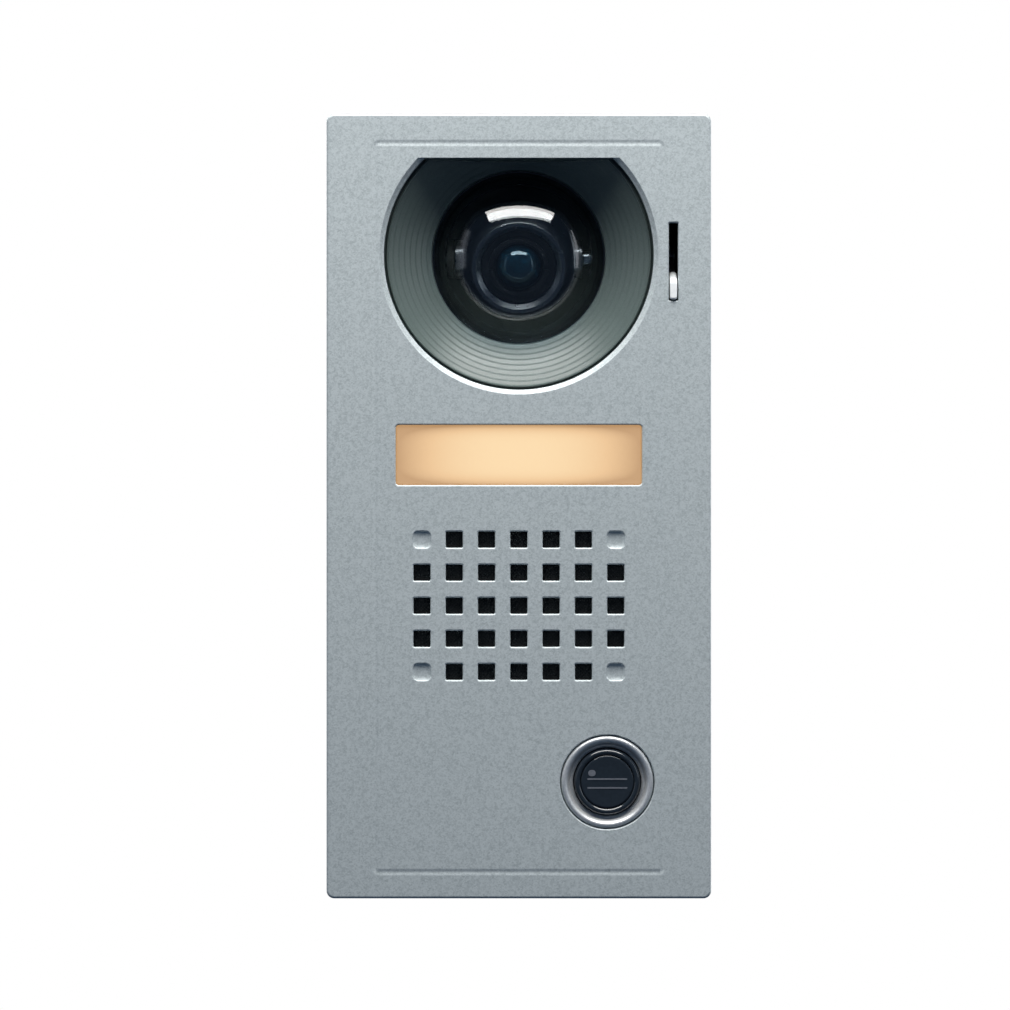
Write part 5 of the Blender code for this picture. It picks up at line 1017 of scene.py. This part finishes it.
# Diode package: white ceramic round a yellow phosphor
phosphor = mottled("diode_phosphor", ("#e9d98a", "#f6edc0"), 0.4, 0.4 * mm)
shape = slab("backlight_board", 1.2 * mm, 0.1 * mm)
finished(as_object("backlight_board_cut", shape), board_green, "backlight_board")
for number in (1, 2):
    node = f"backlight_led_{number}"
    diode = as_object(node + "_package", slab(node, 0.4 * mm, 0.15 * mm))
    led_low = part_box(node)[0]
    profile = [(0, led_low.y - OVERRUN), (1.4 * mm, led_low.y - OVERRUN), (1.4 * mm, led_low.y)]
    profile += [(1.1 * mm, led_low.y + 0.35 * mm), (0, led_low.y + 0.35 * mm)]
    combine(diode, lathe(profile, (middle(node).x, 0, middle(node).z), sides=32))
    finished(diode, phosphor, node)

# ---- Call button ---------------------------------------------------------------------------------------
# A satin-chromed ring, turned with a rounded bead and a slope inside it, is held by a hexagon nut behind the
# wall. In it slides a glossy black cap, which a steel spring keeps forward until it is pressed 1.4 mm.

button_x, button_z = button_place.x, button_place.z
bead_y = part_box("button_bezel")[0].y
bezel_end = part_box("button_bezel")[1].y
bore_radius = 10.55 * mm
tube_outer = tube_radius - GAP
lip_inner = 8.85 * mm
lip_rear = -37.7 * mm
cap_low, cap_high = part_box("button_cap")
cap_radius = 8.6 * mm
cap_flange = half_size("button_cap").x
cap_hollow = 7 * mm
icon_low, icon_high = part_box("button_icon")
icon_radius = half_size("button_icon").x


def metal(name, tones, roughness, grain, relief=0.005 * mm, metallic=1.0, **more):
    """A plated or bare metal with a mottle and a fine tooling grain of its own size and direction."""
    gloss = (roughness * 0.75, roughness * 1.3)
    return mottled(name, tones, roughness, grain, relief, 0.5, 5.0, metallic=metallic, gloss=gloss, **more)


# Satin chrome: a pale bluish metal whose highlights spread softly round the bead
satin_chrome = metal("satin_chrome", ("#d6dadc", "#eceff0"), 0.36, 0.6 * mm, metallic=0.6)
seat_y = shelf_y - GAP
# the bead's radii, and how far it falls back from its crest at each, in millimetres
bead = ((9.75, 1.5), (10.3, 0.55), (10.75, 0.12), (11.2, 0), (11.65, 0.16))
profile = [(lip_inner + 0.95 * mm, seat_y)]
profile += [(radius * mm, bead_y + depth * mm) for radius, depth in bead]
profile += [(ring_radius, bead_y + 0.75 * mm), (ring_radius, seat_y), (tube_outer, seat_y)]
profile += [(tube_outer, bezel_end), (bore_radius, bezel_end), (bore_radius, lip_rear)]
profile += [(lip_inner, lip_rear), (lip_inner, bead_y + 2.2 * mm)]
shape = lathe(softened(profile, 0.3 * mm, 3), (button_x, 0, button_z), sides=128)
finished(as_object("button_ring_turned", shape), satin_chrome, "button_bezel", crease=50)

# Piano-black ABS: a polished black skin, so clear that it mirrors the lamps, with hair-fine wear
piano_black = mottled(
    "piano_black_abs",
    ("#222930", "#262e36"),
    0.12,
    0.9 * mm,
    relief=0,
    detail=7.0,
    ends=(0.35, 0.8),
    gloss=(0.09, 0.2),
    Coat_Weight=0.4,
    Coat_Roughness=0.05,
    Specular_IOR_Level=0.6,
)

cap_y = cap_low.y
profile = [(0, icon_high.y + GAP), (icon_radius + 0.15 * mm, icon_high.y + GAP)]
profile += [(icon_radius + 0.2 * mm, cap_y + 0.35 * mm), (icon_radius + 0.65 * mm, cap_y + 0.06 * mm)]
profile += [(icon_radius + 1.05 * mm, cap_y), (cap_radius - 0.35 * mm, cap_y + 0.2 * mm)]
cap_flange_y, cap_foot_y, cap_floor_y = -37.4 * mm, -36 * mm, -38.1 * mm
stem_radius = 2 * mm
profile += [(cap_radius, cap_y + 0.75 * mm), (cap_radius, cap_flange_y), (cap_flange, cap_flange_y)]
profile += [(cap_flange, cap_foot_y), (cap_hollow, cap_foot_y), (cap_hollow, cap_floor_y)]
profile += [(stem_radius, cap_floor_y), (stem_radius, cap_high.y), (0, cap_high.y)]
shape = lathe(softened(profile, 0.2 * mm, 3), (button_x, 0, button_z), sides=128)
finished(as_object("button_cap_moulded", shape), piano_black, "button_cap")

# The disc on the cap: a shallow dish, pad-printed with two plain bars and a dot
dish = 0.12 * mm
profile = [(0, icon_low.y + dish), (icon_radius * 0.6, icon_low.y + dish * 0.8)]
profile += [(icon_radius - 0.35 * mm, icon_low.y), (icon_radius, icon_low.y + 0.15 * mm)]
profile += [(icon_radius, icon_high.y), (0, icon_high.y)]
shape = lathe(softened(profile, 0.1 * mm), (button_x, 0, button_z), sides=96)
finished(as_object("button_disc", shape), piano_black, "button_icon")
# Grey printing ink: a thin matt film
ink = mottled("grey_ink", ("#5f646c", "#70757e"), 0.5, 0.5 * mm, 0.003 * mm)
ink_y = icon_low.y + 0.02 * mm
prints = ((5.2, 0.2, 0, 0.75), (5.2, 0.2, 0, -1.55), (0.95, 0.8, -4.0, 2.3))  # mm: half sizes, then place
for number, marks in enumerate(prints):
    half, thick, across, up = (size * mm for size in marks)
    outline = rounded(half, thick, min(half, thick) * 0.9, 6)
    mark = loft([(outline, ink_y), (outline, ink_y + dish * 1.2)], (button_x + across, 0, button_z + up))
    finished(as_object(f"button_print_{number + 1}", mark), ink, body="call_button", slot="gloss_black")

# The nut: cold-rolled steel, nickel plated
nickel = metal("nickel_plated_steel", ("#a9a69c", "#c7c3b7"), 0.28, 0.9 * mm)
nut_low, nut_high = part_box("button_nut")
nut_radius = half_size("button_nut").x
hexagon = circle(nut_radius, 6)
shape = loft([(hexagon, nut_low.y), (hexagon, nut_high.y)], (button_x, 0, button_z))
nut = eased(as_object("button_nut_hexagon", shape), 0.4 * mm, 3)
lead_in = 0.5 * mm
start, end = nut_low.y - OVERRUN, nut_high.y + OVERRUN
profile = [(0, start), (tube_radius + lead_in, start), (tube_radius, nut_low.y + lead_in)]
profile += [(tube_radius, nut_high.y - lead_in), (tube_radius + lead_in, end), (0, end)]
thread = lathe(profile, (button_x, 0, button_z))
combine(nut, thread)
finished(nut, nickel, "button_nut")


def coil_tree():
    """Winds a round wire into a coil along Y."""
    kinds = {"radius": "Float", "wire": "Float", "turns": "Float", "length": "Float"}
    tree, given = new_tree("coil", **kinds, centre="Vector")
    winding = {"Resolution": 48, "Rotations": given["Turns"], "Height": given["Length"]}
    winding |= {"Start Radius": given["Radius"], "End Radius": given["Radius"]}
    spiral = add(tree, "GeometryNodeCurveSpiral", winding).outputs[0]
    wire = add(tree, "GeometryNodeCurvePrimitiveCircle", {"Resolution": 12, "Radius": given["Wire"]})
    sweep = {"Curve": spiral, "Profile Curve": wire.outputs["Curve"], "Fill Caps": True}
    swept = add(tree, "GeometryNodeCurveToMesh", sweep).outputs[0]
    stand = {"Geometry": swept, "Rotation": (-math.pi / 2, 0, 0), "Translation": given["Centre"]}
    return realized(tree, given, add(tree, "GeometryNodeTransform", stand).outputs["Geometry"])


spring_wire = 0.3 * mm
spring_low, spring_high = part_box("button_spring")
spring_length = spring_high.y - spring_low.y - 2 * spring_wire
stainless = metal("spring_steel", ("#8d9092", "#b4b7b8"), 0.25, 0.5 * mm)
seed_mesh = bmesh.new()
seed_mesh.verts.new((0, 0, 0))
spring = grown(
    as_object("button_spring_coil", seed_mesh),
    coil_tree(),
    radius=5.6 * mm,
    wire=spring_wire,
    turns=4.0,
    length=spring_length,
    centre=(button_x, spring_low.y + spring_wire, button_z),
    material=stainless,
)
finished(spring, stainless, "button_spring", crease=60)
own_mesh(spring)

# ---- Camera mounting and cable -------------------------------------------------------------------------
# A cradle of black-passivated sheet steel is screwed to two bosses and carries the ball in its arms. The
# sensor sits on its board behind the lens. The parts keep their imported shapes, with every edge eased but the
# cable's.


def refined(node, material, width, segments=2, crease=35, body=None):
    """A merged copy of a CAD node with its edges eased and its curves smooth."""
    shape = bmesh.new()
    shape.from_mesh(frame["nodes"][node].data)
    bmesh.ops.remove_doubles(shape, verts=shape.verts, dist=2e-6)
    bmesh.ops.dissolve_limit(shape, angle_limit=math.radians(1), verts=shape.verts, edges=shape.edges)
    made = as_object(node + "_detailed", shape)
    if width:
        eased(made, width, segments)
    return finished(made, material, node, crease=crease, body=body)


def dressed(node, material):
    """Gives a CAD node that stays as it is its finish."""
    for place in frame["nodes"][node].material_slots:
        place.material = material


# Zinc plate: a bright, slightly bluish crystalline skin over sheet steel
zinc = metal("zinc_plated_steel", ("#a7abae", "#cdd1d3"), 0.32, 2.2 * mm, 0.008 * mm)
# Drawn steel rod: fine scratches along its length
drawn_steel = metal("drawn_steel", ("#8f9294", "#b7babc"), 0.22, 0.6 * mm, stretch=(0.1, 1.0, 1.0))
# Graphited fibre: nearly black and matt, with short strands
fibre = mottled("graphited_fibre", ("#14110d", "#201b15"), 0.8, 0.4 * mm, 0.03 * mm)
# Sensor glass over silicon: dark, with its violet sheen painted into the colour
silicon = mottled("sensor_glass_painted_sheen", ("#1c1830", "#2c2a4a"), 0.08, 1 * mm, 0.001 * mm, Coat_Weight=1.0)
# Flat flexible cable: a black coverlay, with a slight sheen, over copper strips
flat_cable = mottled("black_coverlay", ("#0d0d0e", "#161617"), 0.4, 0.7 * mm)
# Black passivated zinc: keeps the metal round the lens out of the picture
black_zinc = metal("black_passivated_zinc", ("#07090b", "#0e1113"), 0.5, 1.5 * mm)
refined("camera_cradle", black_zinc, 0.15 * mm)
refined("tilt_friction_washer", fibre, 0.1 * mm)
refined("tilt_shaft", drawn_steel, 0.08 * mm)
refined("tilt_lever", zinc, 0.12 * mm)
refined("image_sensor", silicon, 0.06 * mm)
refined("image_sensor_board", board_green, 0.08 * mm)
flex_start, flex_end = (0, -10 * mm, camera_z - 22 * mm), (0, -10 * mm, camera_z - 8 * mm)
refined("camera_cable", flat_cable, 0, body=("housing", "camera", flex_start, flex_end))

# ---- Speaker -------------------------------------------------------------------------------------------
# A 50 mm moving-coil speaker: a pressed steel basket, a doped paper cone, a ferrite ring and a steel yoke.
# A spring-steel clamp presses it on a foam ring, and a dust cloth behind the grille keeps insects out.


def woven(name, thread, tones):
    """Plain-woven monofilament: threads over and under at their real pitch, with painted shade in the gaps."""
    material, tree, shader, place = start_material(name, 0.75, Sheen_Weight=0.3)
    apart = add(tree, "ShaderNodeSeparateXYZ", {0: place})
    waves = []
    for axis in (0, 2):
        angle = {0: apart.outputs[axis], 1: math.pi / thread}
        turn = add(tree, "ShaderNodeMath", angle, operation="MULTIPLY")
        waves.append(add(tree, "ShaderNodeMath", {0: turn.outputs[0]}, operation="SINE").outputs[0])
    crossing = add(tree, "ShaderNodeMath", {0: waves[0], 1: waves[1]}, operation="MULTIPLY")
    height = add(tree, "ShaderNodeMapRange", {"Value": crossing.outputs[0], "From Min": -1.0}).outputs[0]
    # the dark end of the ramp is painted shade in the gaps between the threads; the light end is the threads' own
    # black
    tinted(tree, shader, height, tuple(zip((0.2, 0.8), tones)), 0.1 * mm, 0.8)
    return material


cloth = woven("dust_cloth", 0.45 * mm, ("#06090b", "#14191c"))
# Closed-cell foam: dull black with open pores at the cut edge
foam = mottled("closed_cell_foam", ("#0f0f10", "#232324"), 0.95, 0.35 * mm, 0.06 * mm)
# Doped paper: dark felted pulp
paper = mottled("doped_paper", ("#141416", "#26262a"), 0.8, 0.5 * mm, 0.03 * mm)
# Electrocoated steel: thin even black over pressed sheet
coated_steel = mottled("black_electrocoat", ("#17181a", "#212326"), 0.35, 1.5 * mm, 0.006 * mm)
# Sintered ferrite: charcoal grey with fine grit and chipped edges
ferrite = mottled("sintered_ferrite", ("#2b2b2d", "#3c3c3f"), 0.6, 0.3 * mm, 0.02 * mm)
# Lead wire: soft black vinyl
vinyl = mottled("black_vinyl", soft_black, 0.45, 0.5 * mm, 0.02 * mm, 0.7, 5.0, ends=(0.3, 0.8))
refined("grille_screen", cloth, 0.05 * mm)
refined("speaker_gasket", foam, 0.2 * mm)
dressed("speaker_cone", paper)
refined("speaker_basket", coated_steel, 0.08 * mm, 1)
refined("speaker_magnet", ferrite, 0.3 * mm)
refined("speaker_yoke", zinc, 0.12 * mm)
refined("speaker_clamp", zinc, 0.1 * mm)
dressed("speaker_lead", vinyl)

# ---- Electronics ---------------------------------------------------------------------------------------
# One main board under the back cover and a small one behind the button, with their larger components. The
# electret microphone hears through a port underneath and sits in a rubber boot.

# Moulded epoxy: the grey-black body of a chip, finely matt
epoxy = mottled("chip_epoxy", ("#1b1c1e", "#28292c"), 0.55, 0.3 * mm, 0.01 * mm)
# Varnished winding tape: amber over copper
tape = mottled("varnished_tape", ("#7a5a1c", "#96702a"), 0.3, 1.4 * mm, 0.03 * mm, Coat_Weight=0.5)
# Green polyamide of the terminals: satin, a little translucent
polyamide = mottled("green_polyamide", ("#1c5a34", "#27703f"), 0.4, 0.9 * mm)
# Drawn aluminium can of the microphone
can_metal = metal("drawn_aluminium", ("#b9bbbd", "#dadcdd"), 0.3, 0.4 * mm)
refined("main_board", board_green, 0.1 * mm)
refined("switch_board", board_green, 0.1 * mm)
refined("call_switch", epoxy, 0.15 * mm)
refined("main_processor", epoxy, 0.15 * mm)
refined("audio_transformer", tape, 0.6 * mm, 3)
refined("terminal_block", polyamide, 0.15 * mm)
refined("microphone", can_metal, 0.2 * mm)
refined("microphone_boot", rubber, 0.3 * mm)

# ---- Rear cover, gasket and wall bracket ---------------------------------------------------------------
# A black ABS cover closes the housing behind. A foam strip seals it to the wall, and it hangs by two
# hooks on a bracket of zinc-plated sheet steel, which is screwed to the wall first.

# Black ABS: a fine leathery moulding texture
black_abs = mottled("textured_black_abs", ("#151617", "#202224"), 0.5, 0.45 * mm, 0.03 * mm)
refined("rear_cover", black_abs, 0.2 * mm)
refined("perimeter_gasket", foam, 0.15 * mm)
refined("wall_bracket", zinc, 0.15 * mm)

# ---- Screws --------------------------------------------------------------------------------------------
# Ten pan-head screws of 2.4 mm, two short ones in the terminals, and one locking screw underneath. All are
# zinc-plated steel with a pressed cross recess, turned to chance angles as a screwdriver leaves them.


def screw_tree():
    """Sets a screw at each point of its input, turned about its own axis by a fixed random draw."""
    tree, given = new_tree("screws", screw="Object", turn="Vector", seed="Int")
    pattern = add(tree, "GeometryNodeObjectInfo", {"Object": given["Screw"]})
    chance = add(tree, "FunctionNodeRandomValue", {"Seed": given["Seed"]}, data_type="FLOAT_VECTOR")
    tree.links.new(given["Turn"], chance.inputs[1])
    setting = {"Points": given["Geometry"], "Instance": pattern.outputs["Geometry"]}
    placed = add(tree, "GeometryNodeInstanceOnPoints", {**setting, "Rotation": chance.outputs[0]})
    return realized(tree, given, placed.outputs["Instances"])


def pan_screw(name, head, head_height, shank, length):
    """A pan-head screw whose head faces +Y and ends at the origin, with a cross recess and a cut thread."""
    pitch = 0.8 * mm
    profile = [(0, 0), (head * 0.55, -0.05 * mm), (head * 0.88, -head_height * 0.3)]
    profile += [(head, -head_height * 0.7), (head, -head_height), (shank * 0.85, -head_height)]
    place = head_height + 0.4 * mm
    while place + pitch < length - 0.6 * mm:
        profile += [(shank * 0.82, -place), (shank, -place - pitch / 2)]
        place += pitch
    profile += [(shank * 0.82, -place), (0, -length)]
    screw = as_object(name, lathe(softened(profile, 0.08 * mm, 1), sides=32))
    arm, thick = head * 0.55, 0.32 * mm
    for half_x, half_z in ((arm, thick), (thick, arm)):
        top = [(half_x, half_z), (-half_x, half_z), (-half_x, -half_z), (half_x, -half_z)]
        foot = [(a * 0.45, b * 0.45) for a, b in top]
        combine(screw, loft([(top, OVERRUN), (top, -0.2 * mm), (foot, -head_height * 0.85)]))
    return screw


fastening = screw_tree()
terminal_nodes = ["terminal_screw_1", "terminal_screw_2"]
long_nodes = [node for group in screw_nodes.values() for node in group]
for nodes, name, head_height, length, seed in (
    (long_nodes, "case_screws", 1.6 * mm, 8.6 * mm, 3),
    (terminal_nodes, "terminal_screws", 1.2 * mm, 3.6 * mm, 5),
):
    pattern = pan_screw(name + "_pattern", half_size(nodes[0]).x, head_height, 1.2 * mm, length)
    points = bmesh.new()
    for node in nodes:
        points.verts.new((middle(node).x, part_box(node)[1].y, middle(node).z))
    group = as_object(name, points)
    grown(group, fastening, screw=pattern, turn=(0.0, math.pi, 0.0), seed=seed, material=zinc)
    bpy.data.objects.remove(pattern)
    finished(group, zinc, *nodes)

locking = pan_screw("locking_screw", head_radius, 1.8 * mm, 1.45 * mm, 10.7 * mm)
down = Matrix.Rotation(math.radians(-90), 4, "X")
downward = Matrix.Translation((0, screw_place.y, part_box("security_screw")[0].z)) @ down
finished(locking, zinc, "security_screw", place=downward)
